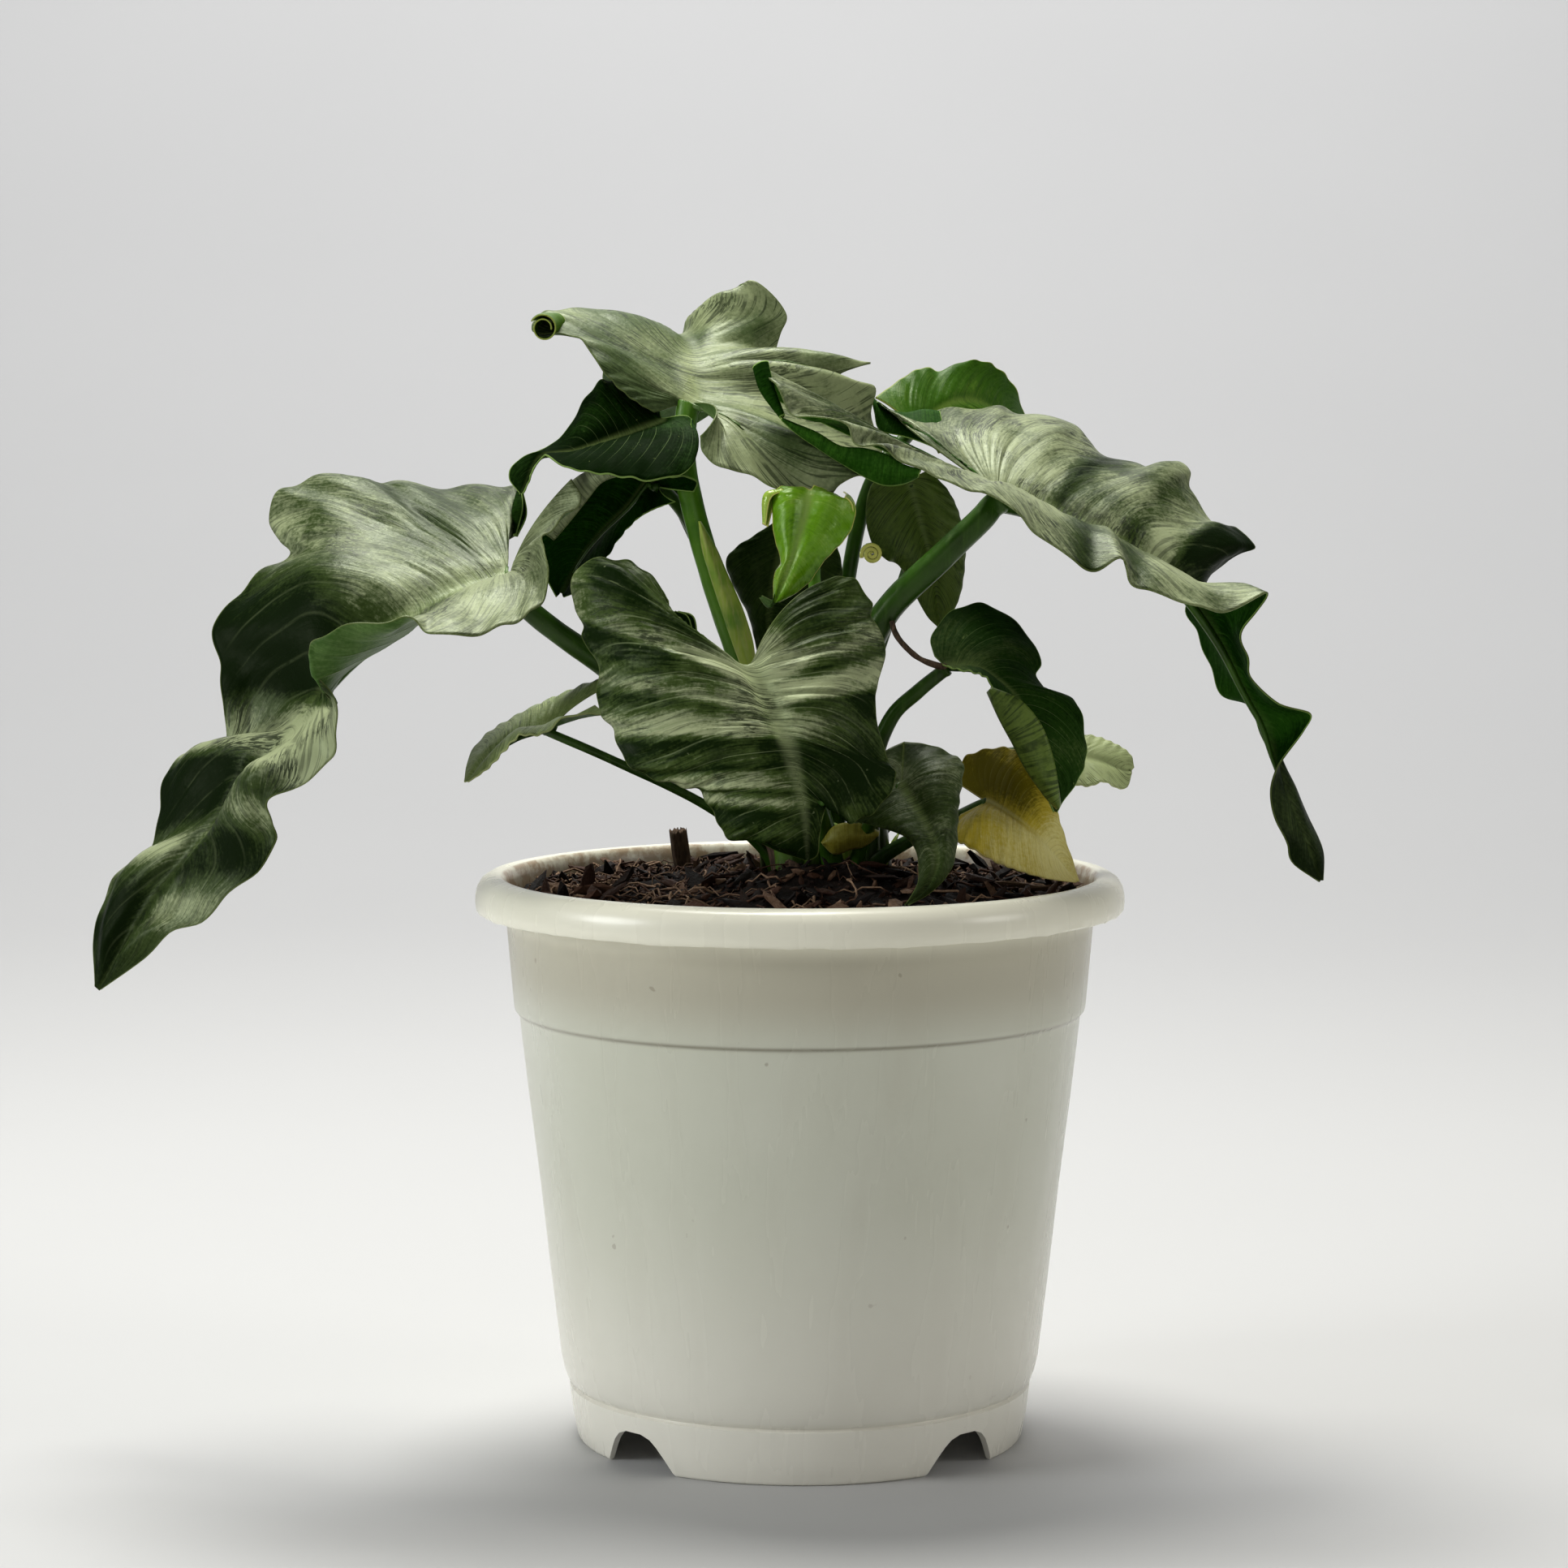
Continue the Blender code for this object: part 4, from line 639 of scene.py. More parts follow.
leafFront = {
    **bigBlade, "node": "leaf_front", "top": "frontTop", "grid": (64, 220), "veinRate": 0.8,
    "pleat": 0.8, "crease": 1.0, "swell": 2.6, "groove": 0.4, "ribWidth": (1.6, 2.6, 0.3),
    "ribRadius": (2.2, 0.4), "ribFrom": 5.5, "fan": 0.7, "softening": 6,
    "leftTone": [(0, 0.35), (2, 0.3), (4, 0.45), (5, 0.75), (5.8, 0.2), (6.5, 0.9), (7.4, 0.75),
                 (7.8, 0.05), (9, 0.45), (10, 0.3), (10.6, -0.1), (12, 0.1), (13.5, 0.3),
                 (14, -0.1), (15, 0.35), (16, -0.05), (18, 0.2), (20, 0.0)],
    "rightTone": [(0, 0.4), (1, 0.5), (3, 0.45), (4, 0.1), (5, 0.6), (5.8, 0.7), (6.3, 0.0),
                  (7.2, 0.2), (8.1, 0.7), (8.6, 0.1), (9.5, 0.7), (10.3, 0.85), (10.8, -0.05),
                  (12, 0.35), (12.6, 0.0), (13, 0.55), (14.2, 0.85), (14.8, 0.1), (15.5, 0.85),
                  (16.2, 0.0), (17.4, 0.35), (18, 0.1), (20, 0.0)],
    "midrib": [(0, -15, -62, 242), (4, -14.5, -63, 241), (8, -8, -70, 230), (11, -3, -75, 221),
               (14, 0, -77, 210), (17, 2, -75, 198), (20, 2, -70, 187)],
    "left": [(0, 5, -50, 267), (1, 12, -48, 269), (2, 17, -48, 267), (3, 21, -50, 261),
             (4, 21, -52, 257), (5, 24, -54, 252), (6, 25, -56, 246), (7, 23, -58, 239),
             (8, 22, -60, 233), (9, 23, -62, 224), (10, 26, -62, 215), (11, 28, -62, 211),
             (12, 25, -64, 204), (13, 19, -66, 199), (14, 14, -68, 198), (15, 11, -70, 203),
             (16, 8.5, -72, 205), (17, 6.5, -73, 200), (18.5, 5.5, -72, 193),
             (19.3, 5, -71, 188.5), (20, 2.8, -70, 186.8)],
    "right": [(0, -39, -52, 262), (1, -43, -48, 268), (2, -49, -46, 272.5), (3, -56, -46, 274),
              (4, -64, -46, 273), (5, -68, -46, 266), (5.6, -67, -48, 259.5),
              (6.2, -64, -50, 254.5), (6.7, -65, -50, 251), (7.5, -60, -54, 244),
              (8.5, -60, -56, 235), (9.3, -59, -58, 229), (10.2, -55, -60, 224),
              (11, -53, -62, 218), (12, -49, -64, 213), (13.5, -39, -66, 209),
              (15, -30, -68, 207), (16, -26.5, -68, 202), (17, -23.5, -70, 196.5),
              (17.8, -21, -70, 193), (18.6, -14, -71, 192.5), (19.3, -6.5, -71, 189.5),
              (20, 1.2, -70, 186.8)],
    "leftArch": [(0, -2, -1, 3), (2, 0, -3, 2), (6, 0, -6, 1), (16, 0, -1, 0), (20, 0, 0, 0)],
    "rightArch": [(0, -5, -2, -5), (2, -2, -4, -2), (5, 0, -8, 1), (14, 0, -7, 1), (20, 0, 0, 0)],
}
makeLeaf("leafFront", leafFront)

leafTop = {
    **bigBlade, "node": "leaf_top", "top": "silverTop", "grid": (64, 240), "veinRate": 1.1,
    "pleat": 0.2, "crease": 0.15, "swell": 1.0, "ruffle": 0.3, "groove": 0.3,
    "ribWidth": (0.8, 2.0, 0.5), "ribRadius": (1.6, 0.4), "ribFrom": 9, "fan": 0.1,
    "softening": 14,
    "leftTone": [(0, 0.35), (3, 0.3), (5, 0.5), (7, 0.55), (9, 0.5), (11, 0.65), (13, 0.5),
                 (15, 0.5), (20, 0.4)],
    "rightTone": [(0, 0.55), (1, 0.85), (3, 0.9), (5, 0.85), (6.5, 0.6), (7.5, 0.85), (10, 0.9),
                  (11.5, 0.75), (12.5, 0.9), (14, 0.6), (15.2, 0.8), (16.4, 0.8), (18, 0.5),
                  (20, 0.4)],
    "midrib": [(0, -34, -5, 320), (6, -34, -5, 320.5), (10, -35, 8, 330), (14, -36, 26, 339),
               (16, -37, 40, 341), (18, -40, 60, 336), (20, -45, 98, 308)],
    "left": [(0, -44, -12, 317), (2, -50, -13, 320.5), (3.5, -55, -13, 324.5), (5, -60, -12, 330),
             (6, -64, -8, 336), (7, -68, -4, 340), (8, -74, 0, 341), (9, -82, 4, 342),
             (10, -80, 10, 347), (11, -74, 16, 348.5), (12, -62, 24, 349), (13, -53, 30, 347),
             (14, -47, 38, 344), (15, -50, 48, 340), (16, -60, 58, 334), (17.5, -63, 70, 326),
             (19, -55, 86, 317), (20, -46, 98, 307.6)],
    "right": [(0, -30, -28, 310), (1, -29, -30, 305), (2, -24, -32, 301), (3, -16, -32, 299),
              (4, -9, -32, 295.5), (5, 0, -30, 291.8), (5.5, 8, -30, 291.8), (6, 12, -28, 295.5),
              (6.5, 18, -26, 298.5), (7, 22, -18, 297), (8, 25, -4, 299), (8.7, 25, 8, 307),
              (9.3, 22, 12, 316), (10, 23, 12, 325), (10.7, 12, 14, 328), (11.3, 22, 16, 332.5),
              (12, 8, 22, 331), (12.8, -5, 24, 330), (13.3, -7.5, 28, 334), (14, -6, 30, 341),
              (14.6, -4, 32, 347), (15.2, -9, 34, 354), (15.8, -16, 36, 358),
              (16.4, -23, 38, 352), (17, -28, 40, 346), (18, -26, 52, 338), (19, -20, 66, 330),
              (19.6, -28, 86, 317), (20, -44.2, 98, 307.6)],
    "leftArch": [(0, 0, 0, 0), (8, 0, 0, 3), (14, 0, 0, 2), (20, 0, 0, 0)],
    "rightArch": [(0, 7, -3, 3), (1.5, 6, 0, 3), (3, 2, 0, 3), (12, 0, 0, 1), (20, 0, 0, 0)],
}
makeLeaf("leafTop", leafTop)

leafTopLower = {
    **smallBlade, "node": "leaf_top_lower", "grid": (40, 130), "bandLift": 0.0,
    "under": "deepUnder",
    "leftTone": [(0, 0.5), (3, 0.35), (5, 0.05), (8, -0.1), (20, -0.1)],
    "rightTone": [(0, 0.3), (4, 0.15), (20, 0.1)],
    "midrib": [(0, -42, -8, 315), (4, -44, -9, 314), (8, -55, -14, 309.5), (12, -67, -18, 306),
               (14, -76, -20, 305), (17, -80, -19, 302.5), (20, -84, -22, 293)],
    "left": [(0, -33, -16, 313), (1, -31, -22, 308), (2, -31, -28, 303.5), (3, -34, -34, 299.5),
             (4, -38, -38, 298), (5, -44, -40, 297), (7, -52, -40, 298), (9, -60, -38, 299),
             (11, -67, -34, 300), (12.5, -72, -28, 301.5), (13.5, -76, -23, 304),
             (14.3, -77.5, -21, 304), (15.5, -80.5, -24, 300), (17.5, -81.5, -25, 297),
             (20, -83.6, -22.6, 292.6)],
    "right": [(0, -43, -2, 318), (3, -48, 0, 321), (6, -55, 2, 325), (8, -60, 2, 327),
              (9.5, -64, 0, 323.5), (11, -68, -4, 317), (12, -71, -8, 311.5),
              (13.3, -76, -14, 307), (14.3, -79, -18, 305.5), (15.5, -83, -16, 304),
              (17, -87, -16, 301), (18.5, -88, -18, 297), (20, -84.6, -21.4, 292.6)],
    "leftArch": [(0, 3, 0, 2), (3, 4, 0, 3), (8, 0, -3, 2), (14, 0, 0, 0), (20, 0, 0, 0)],
    "rightArch": [(0, 0, 0, 0), (8, 0, -4, 0), (14, 0, 0, 0), (20, 0, 0, 0)],
}
makeLeaf("leafTopLower", leafTopLower)

leafRight = {
    **bigBlade, "node": "leaf_right", "grid": (64, 300), "veinRate": 1.15, "pleat": 0.25,
    "crease": 0.18, "swell": 1.2, "ribWidth": (0.8, 2.6, 0.5), "ribRadius": (3.2, 0.5),
    "ribFrom": 5, "fan": 0.15, "under": "deepUnder", "bandLift": 0.15,
    "leftTone": [(0, 0.6), (4, 0.75), (6, 0.8), (7.2, 0.75), (7.7, 0.1), (8.2, 0.6), (9.7, 0.75),
                 (10.3, 0.5), (10.9, 0.9), (11.4, 0.7), (11.8, 0.0), (12.3, 0.0), (13.2, 0.0),
                 (13.6, 0.4), (15, 0.5), (16.2, 0.55), (17, 0.1), (18, 0.2), (20, 0.08)],
    "rightTone": [(0, 0.6), (3, 0.7), (6, 0.85), (8, 0.85), (8.8, 0.35), (9.4, 0.85),
                  (10.2, 0.55), (11, 0.85), (12.6, 0.85), (13.2, 0.3), (14, 0.1), (15.6, 0.3),
                  (16.4, 0.4), (17, 0.1), (18.6, 0.25), (20, 0.05)],
    "midrib": [(0, 61, -5, 292), (5, 62, -5, 291.8), (8, 79.5, -8, 286), (10, 97, -10, 278),
               (11.5, 111, -11, 269.5), (13, 121, -10, 258.5), (14, 129.5, -8, 247.5),
               (15.2, 136.5, -6, 234.5), (16.4, 142.5, -5, 222.5), (17.5, 147.5, -4, 209.5),
               (18.4, 151.5, -4, 197.5), (19.2, 156.5, -4, 185.5), (20, 160.5, -4, 173.5)],
    "left": [(0, 39, 8, 308), (0.7, 30.5, 22, 315), (1.3, 22.5, 30, 321), (2, 32, 36, 316.4),
             (3, 43, 42, 317.4), (4.3, 62, 46, 318.4), (5.3, 73.5, 47, 315.8),
             (6.2, 87, 46, 313.7), (6.8, 91, 42, 307.6), (7.5, 98, 38, 303),
             (8.5, 111, 34, 299.4), (9.3, 119, 32, 301), (9.8, 123, 30, 298.5),
             (10.3, 122, 26, 292.4), (11, 130, 22, 282.3), (11.8, 136, 18, 280.4),
             (12.3, 141.5, 14, 275.5), (12.8, 133, 12, 271.5), (13.2, 126, 12, 264.5),
             (13.7, 120, 14, 256), (14.2, 123.5, 15, 249), (15, 127.5, 14, 239),
             (15.7, 131, 12, 230), (16.3, 139, 8, 226.5), (16.9, 143, 6, 217.5),
             (17.5, 148, 5, 208), (18.2, 153, 5, 202.5), (18.9, 157.5, 4, 191.6),
             (19.5, 162, 2, 181.8), (20, 161.3, -3.4, 173.3)],
    "right": [(0, -9, -14, 322), (1, -13, -20, 331), (2, -8, -26, 326), (2.6, -3, -32, 317.6),
              (3, 3, -34, 316.2), (3.6, 13.6, -36, 313.2), (4, 16.5, -37, 308.4),
              (4.4, 23.3, -38, 307.4), (4.9, 29, -38, 302.6), (5.3, 37, -38, 300.7),
              (5.7, 41.7, -39, 297.3), (6.1, 48.5, -40, 294.4), (6.6, 55, -40, 293.9),
              (7.1, 64, -42, 287.2), (7.7, 70.6, -43, 281.4), (8.3, 80, -44, 273.7),
              (8.9, 87, -44, 270.8), (9.4, 95, -42, 273.6), (9.8, 97.7, -42, 267.8),
              (10.4, 102.6, -42, 264.4), (11, 109.4, -42, 263), (11.7, 118, -42, 259.6),
              (12.3, 126, -40, 258), (12.9, 139.3, -34, 263.6), (13.4, 136.8, -30, 257.5),
              (13.9, 133.3, -26, 250.5), (14.6, 135.7, -22, 241.4), (15.3, 138, -18, 235.2),
              (15.9, 145.2, -16, 229.2), (16.3, 155.3, -14, 226), (16.8, 153.6, -12, 220),
              (17.2, 148.9, -10, 212.8), (17.6, 146, -9, 207.8), (18.2, 144, -9, 200.8),
              (18.8, 146, -9, 192.4), (19.3, 149.5, -9, 185), (19.7, 151.5, -8, 179),
              (20, 160, -4.8, 173)],
    "leftArch": [(0, 0, 0, 0), (4, 0, 0, 5), (12, 0, 2, 4), (16, 2, 0, 0), (20, 0, 0, 0)],
    "rightArch": [(0, 0, -3, -2), (1, 0, -2, 0), (4, 0, 4, 3), (8, 0, 0, 4), (13, 0, 0, 3),
                  (16, 0, 0, 0), (20, 0, 0, 0)],
}
makeLeaf("leafRight", leafRight)

leafBackUpper = {
    **smallBlade, "node": "leaf_back_upper", "slot": "leaf_bright", "top": "brightTop",
    "grid": (40, 110), "tone": 0.5,
    "midrib": [(0, 36, 40, 312), (5, 38, 43, 313), (9, 50, 57, 320), (13, 62, 70, 318),
               (17, 72, 83, 308), (20, 80, 97, 291.4)],
    "left": [(0, 24, 44, 321.5), (2, 29, 50, 325), (4, 35, 57, 329), (5.5, 40, 61, 331),
             (7, 45, 65, 330), (9, 53, 70, 333), (11, 60, 75, 333), (13, 65.6, 80, 330),
             (15, 70.4, 86, 324.5), (17, 74.4, 92, 314), (20, 80, 98, 291)],
    "right": [(0, 44, 40, 304), (4, 54, 51, 306), (8, 66, 59, 305), (12, 77, 68, 300),
              (16, 84, 80, 294), (20, 80.6, 96.4, 291)],
    "leftArch": [(0, 0, 0, 1), (10, 0, 2, 3), (20, 0, 0, 0)],
    "rightArch": [(0, 0, 2, 2), (10, 0, 3, 2), (20, 0, 0, 0)],
}
makeLeaf("leafBackUpper", leafBackUpper)

leafBackLower = {
    **smallBlade, "node": "leaf_back_lower", "top": "oliveGreen", "grid": (32, 90), "tone": 0.85,
    "midrib": [(0, 34, 22, 296), (4, 34.5, 22, 295), (10, 38, 25, 282), (15, 42, 27, 267),
               (20, 44, 26, 250)],
    "left": [(0, 40, 22, 299), (3, 46, 24, 293), (7, 50, 27, 285), (11, 52, 29, 275),
             (15, 51, 29, 262), (18, 48, 27, 254), (20, 44.6, 26, 249.6)],
    "right": [(0, 28, 18, 299), (2, 22, 17, 294), (5, 20.5, 17, 284), (8, 23, 19, 275),
              (10, 27, 21, 271), (12, 31, 23, 269), (15, 36, 25, 260), (18, 40, 25.5, 253),
              (20, 43.4, 26, 249.6)],
    "leftArch": [(0, 0, -1, 0), (10, 0, -3, 0), (20, 0, 0, 0)],
    "rightArch": [(0, 0, -1, 0), (10, 0, -3, 0), (20, 0, 0, 0)],
}
makeLeaf("leafBackLower", leafBackLower)

leafYoung = {
    **smallBlade, "node": "leaf_young", "slot": "leaf_bright", "top": "limeTop", "grid": (32, 90),
    "swell": 1.5, "tone": 0.42, "softening": 10,
    "midrib": [(0, 3, -36, 294), (5, 2, -38, 290.5), (10, -1, -42, 280), (14, -4, -43, 271),
               (17.5, -7, -41, 263), (18.7, -8.5, -39, 260), (20, -11.6, -37, 262)],
    "left": [(0, 4, -34, 295.5), (2, 8, -35, 294), (3.5, 12, -36, 292), (5, 15.6, -36, 290.5),
             (6, 16.5, -36, 288), (7.5, 15.5, -36, 283), (9, 13, -38, 279), (11, 9.5, -40, 275.5),
             (13, 6, -40, 271.5), (15, 3, -40, 267), (17, -2, -40, 263), (18.5, -7, -39, 260.6),
             (20, -11.4, -36.8, 262.4)],
    "right": [(0, 1, -34, 295), (2, -3, -33, 295), (3.5, -6, -33, 295), (5, -8.5, -35, 293),
              (7, -8.5, -37, 288), (9, -8, -39, 281), (11, -6.5, -40, 275.5),
              (12.5, -6, -41, 272.5), (14, -7.5, -41, 270), (16, -8.2, -40, 266),
              (17.5, -8.2, -39, 261.5), (18.7, -9.4, -38, 259.2), (20, -12.2, -36.8, 262)],
    "leftArch": [(0, 0, 0, 0), (6, 0, -2.5, 1), (14, 0, -2.5, 0), (20, 0, 0, 0)],
    "rightArch": [(0, 0, 0, 0), (6, 0, -2.5, 1), (14, 0, -2, 0), (20, 0, 0, 0)],
}
makeLeaf("leafYoung", leafYoung)

leafMiddle = {
    **smallBlade, "node": "leaf_middle", "top": "oliveGreen", "grid": (32, 90), "tone": 0.3,
    "midrib": [(0, -3, 12, 281), (4, -4, 12, 279), (12, -10, 10, 256), (20, -8, 8, 226)],
    "left": [(0, 2, 12, 284), (3, 9, 13, 280), (7, 13, 13, 270), (11, 12, 12, 258),
             (15, 6, 10, 244), (20, -7.4, 8, 225.6)],
    "right": [(0, -8, 12, 283), (2, -14, 13, 279), (4, -20, 14, 275), (6, -23, 14, 270.5),
              (9, -20, 13, 262), (12, -16, 12, 254), (16, -13, 10, 242), (20, -8.6, 8, 225.6)],
    "leftArch": [(0, 0, -1, 0), (10, 0, -3, 0), (20, 0, 0, 0)],
    "rightArch": [(0, 0, -1, 0), (10, 0, -3, 0), (20, 0, 0, 0)],
}
makeLeaf("leafMiddle", leafMiddle)

leafLowLeft = {
    **smallBlade, "node": "leaf_low_left", "slot": "leaf_pale", "top": "paleTop",
    "grid": (32, 90), "tone": 0.5,
    "midrib": [(0, -76, -18, 221.5), (5, -77, -18, 221.5), (10, -86, -22, 219),
               (15, -95, -24, 213), (20, -101, -24, 206)],
    "left": [(0, -62, -24, 229), (2, -60, -30, 227), (4, -70, -34, 226.5), (6, -76, -36, 222),
             (8, -80, -37, 221), (10, -84, -37, 221), (13, -89, -34, 216), (16, -94, -30, 210.5),
             (20, -100.6, -24.6, 205.6)],
    "right": [(0, -60, -16, 233), (2, -57, -16, 236), (4, -63, -12, 235.5), (7, -72, -4, 231.5),
              (10, -81, 4, 227), (13, -90, 2, 222.5), (16, -97, -4, 218), (18, -101, -12, 212.5),
              (20, -101.8, -23.4, 205.6)],
    "leftArch": [(0, 0, 0, 0), (10, 0, 0, 2), (20, 0, 0, 0)],
    "rightArch": [(0, 0, 0, 1), (10, 0, 0, 2), (20, 0, 0, 0)],
}
makeLeaf("leafLowLeft", leafLowLeft)

leafMiddleRight = {
    **smallBlade, "node": "leaf_middle_right", "grid": (40, 130), "tone": 0.4, "fan": 0.3,
    "under": "oliveTop",
    "midrib": [(0, 44, -12, 240), (4, 45, -12.5, 239.8), (8, 54, -18, 239.5), (11, 62, -22, 235),
               (14, 67, -24, 227.5), (17, 71, -27, 214), (20, 77, -30, 197.5)],
    "left": [(0, 41, -8, 243), (1, 40, -2, 247.5), (2, 43, 2, 252.5), (3, 48, 6, 256.5),
             (4.5, 57, 8, 258), (6, 66, 6, 253), (7.5, 72, 2, 246), (8.5, 74, -2, 240),
             (9.5, 72.5, -6, 236.5), (10.5, 76, -8, 231.5), (12, 83, -10, 230),
             (13, 85.5, -12, 226.5), (14.5, 87, -14, 218), (16, 87, -16, 211.5),
             (18, 84, -20, 205), (19.2, 79.5, -25, 199.5), (20, 77.6, -29.6, 197)],
    "right": [(0, 43, -16, 241), (3, 47, -24, 240), (6, 53, -28, 239), (9, 57, -30, 236.5),
              (11, 60, -32, 229.5), (13, 64.5, -34, 223), (15, 68.5, -34, 217),
              (16.5, 70.5, -33, 213), (18, 73, -32, 206), (20, 76.4, -30.4, 197)],
    "leftArch": [(0, 0, 0, 0), (6, 0, 2, 3), (14, 3, 0, 0), (20, 0, 0, 0)],
    "rightArch": [(0, 0, 0, 0), (8, 0, -1, 1), (14, 0, -1, 0), (20, 0, 0, 0)],
}
makeLeaf("leafMiddleRight", leafMiddleRight)

leafPaleRight = {
    **smallBlade, "node": "leaf_pale_right", "slot": "leaf_pale", "top": "paleTop",
    "grid": (32, 90), "tone": 1.15,
    "midrib": [(0, 75, 8, 211), (5, 77, 8, 211), (12, 89, 12, 210), (20, 103.6, 16, 205.6)],
    "left": [(0, 75, 14, 215), (5, 81, 20, 217), (10, 92, 22, 216), (15, 100, 20, 213),
             (18, 103.6, 18, 210), (20, 104.4, 16.6, 206.4)],
    "right": [(0, 76, 2, 207), (5, 81, -2, 204), (10, 89, -2, 202.5), (13, 94, 2, 203.5),
              (16, 99, 8, 200.8), (18, 102, 12, 200.8), (20, 103.6, 15.4, 204.8)],
    "leftArch": [(0, 0, 0, 1), (20, 0, 0, 0)],
    "rightArch": [(0, 0, 0, 1), (20, 0, 0, 0)],
}
makeLeaf("leafPaleRight", leafPaleRight)

leafYellow = {
    **smallBlade, "node": "leaf_yellow", "slot": "leaf_yellow", "top": "yellowTop",
    "grid": (40, 110), "bandLift": 0.2,
    "leftTone": [(0, 0.02), (4, 0.02), (8, 0.05), (11, 0.1), (13, 0.4), (16, 0.8), (20, 0.95)],
    "rightTone": [(0, 0.5), (5, 0.45), (9, 0.6), (13, 0.8), (20, 1.0)],
    "midrib": [(0, 56.6, -18, 199), (5, 58, -18.6, 198.8), (9, 63, -21, 196),
               (13, 70, -22, 191.4), (17, 78, -18, 183), (20, 85, -12, 174)],
    "left": [(0, 48, -8, 204), (2, 50, -2, 210.5), (4, 55, 0, 213), (6.5, 63, 2, 214),
             (9, 69, 0, 212), (11, 73, -3, 206), (13, 76, -6, 200), (15, 79, -8, 194.5),
             (17, 81, -9, 188), (19, 84, -10, 179), (20, 85.6, -11.6, 173.8)],
    "right": [(0, 48.5, -26, 196), (1, 45.6, -32, 192.5), (3, 46, -38, 190), (6, 50, -42, 188),
              (9, 58, -42, 183.5), (13, 66, -38, 180), (17, 75, -28, 176.5),
              (20, 84.4, -12.6, 173.6)],
    "leftArch": [(0, 0, 0, 0), (8, 0, 3, 2), (20, 0, 0, 0)],
    "rightArch": [(0, 0, 0, 0), (8, 0, -2, 3), (20, 0, 0, 0)],
}
makeLeaf("leafYellow", leafYellow)

leafLowFront = {
    **smallBlade, "node": "leaf_low_front", "top": "darkTop", "grid": (40, 120), "tone": 0.45,
    "fan": 0.1,
    "midrib": [(0, 30, -48, 207), (5, 30.5, -49, 206), (10, 38, -60, 194), (14, 40, -66, 185.5),
               (17, 36.5, -69, 178.5), (20, 31, -70, 174)],
    "left": [(0, 31, -38, 219), (2, 39, -38, 218), (4, 45, -40, 215.5), (6, 48.5, -44, 213),
             (8, 48, -48, 207.5), (10, 47, -52, 202), (12, 46.5, -56, 196), (14, 46, -60, 189.5),
             (15.5, 44.5, -64, 184), (17, 41, -67, 179.5), (18.5, 36.5, -69, 176),
             (20, 31.5, -70.4, 173.6)],
    "right": [(0, 31, -38, 219), (1, 25.5, -40.5, 216.6), (2, 20.6, -42, 212), (4, 15, -46, 203),
              (6, 13, -50, 197), (9, 19, -54, 196), (11, 27, -58, 194), (12.5, 31.5, -60, 192),
              (14, 34, -63, 188), (15.5, 34.5, -66, 183), (17, 34, -68, 179.5),
              (20, 30.4, -70.4, 173.6)],
    "leftArch": [(0, 0, 0, 0), (8, 0, -3, 2), (20, 0, 0, 0)],
    "rightArch": [(0, 0, 0, 0), (8, 0, -2, 1), (20, 0, 0, 0)],
}
makeLeaf("leafLowFront", leafLowFront)


def makeScroll(name, scroll):
    # a rolled-up bit of blade: a spiral carried along a short line
    around, along = 40, 24
    line = routePoints(scroll["route"], along + 1)
    ahead = (line[-1] - line[0]).normalized()
    side = Vector(scroll["facing"])
    side = (side - ahead * side.dot(ahead)).normalized()
    up = ahead.cross(side)
    radii = [(i, radius) for i, radius in enumerate(scroll["radii"])]
    length = (line[-1] - line[0]).length / mm
    mesh = bmesh.new()
    layer = mesh.verts.layers.float_vector.new("leafMap")
    toneLayer = mesh.verts.layers.float.new("leafTonePaintedLight")
    bmesh.ops.create_grid(mesh, x_segments=around, y_segments=along, size=1.0)
    for vert in mesh.verts:
        s, t = (vert.co.x + 1) / 2, (vert.co.y + 1) / 2
        turn = 2 * math.pi * scroll["turns"] * s
        radius = float(curveAt(radii, t * (len(radii) - 1))[0])
        arc = 2 * math.pi * abs(scroll["turns"]) * radius
        radius *= 1 - scroll["tighten"] * s
        out = side * math.cos(turn) + up * math.sin(turn)
        vert.co = line[round(t * along)] + out * radius * mm
        edge = min(s * arc, (1 - s) * arc, t * length, (1 - t) * length)
        vert[layer] = Vector((44 + 3 * t, 6.0, edge))
        vert[toneLayer] = scroll["tone"]
    piece = finishPiece(name, mesh, [leafFinish[scroll["look"]], leafFinish[scroll["inside"]]])
    giveThickness(piece, scroll.get("thickness", 0.45), under=True)


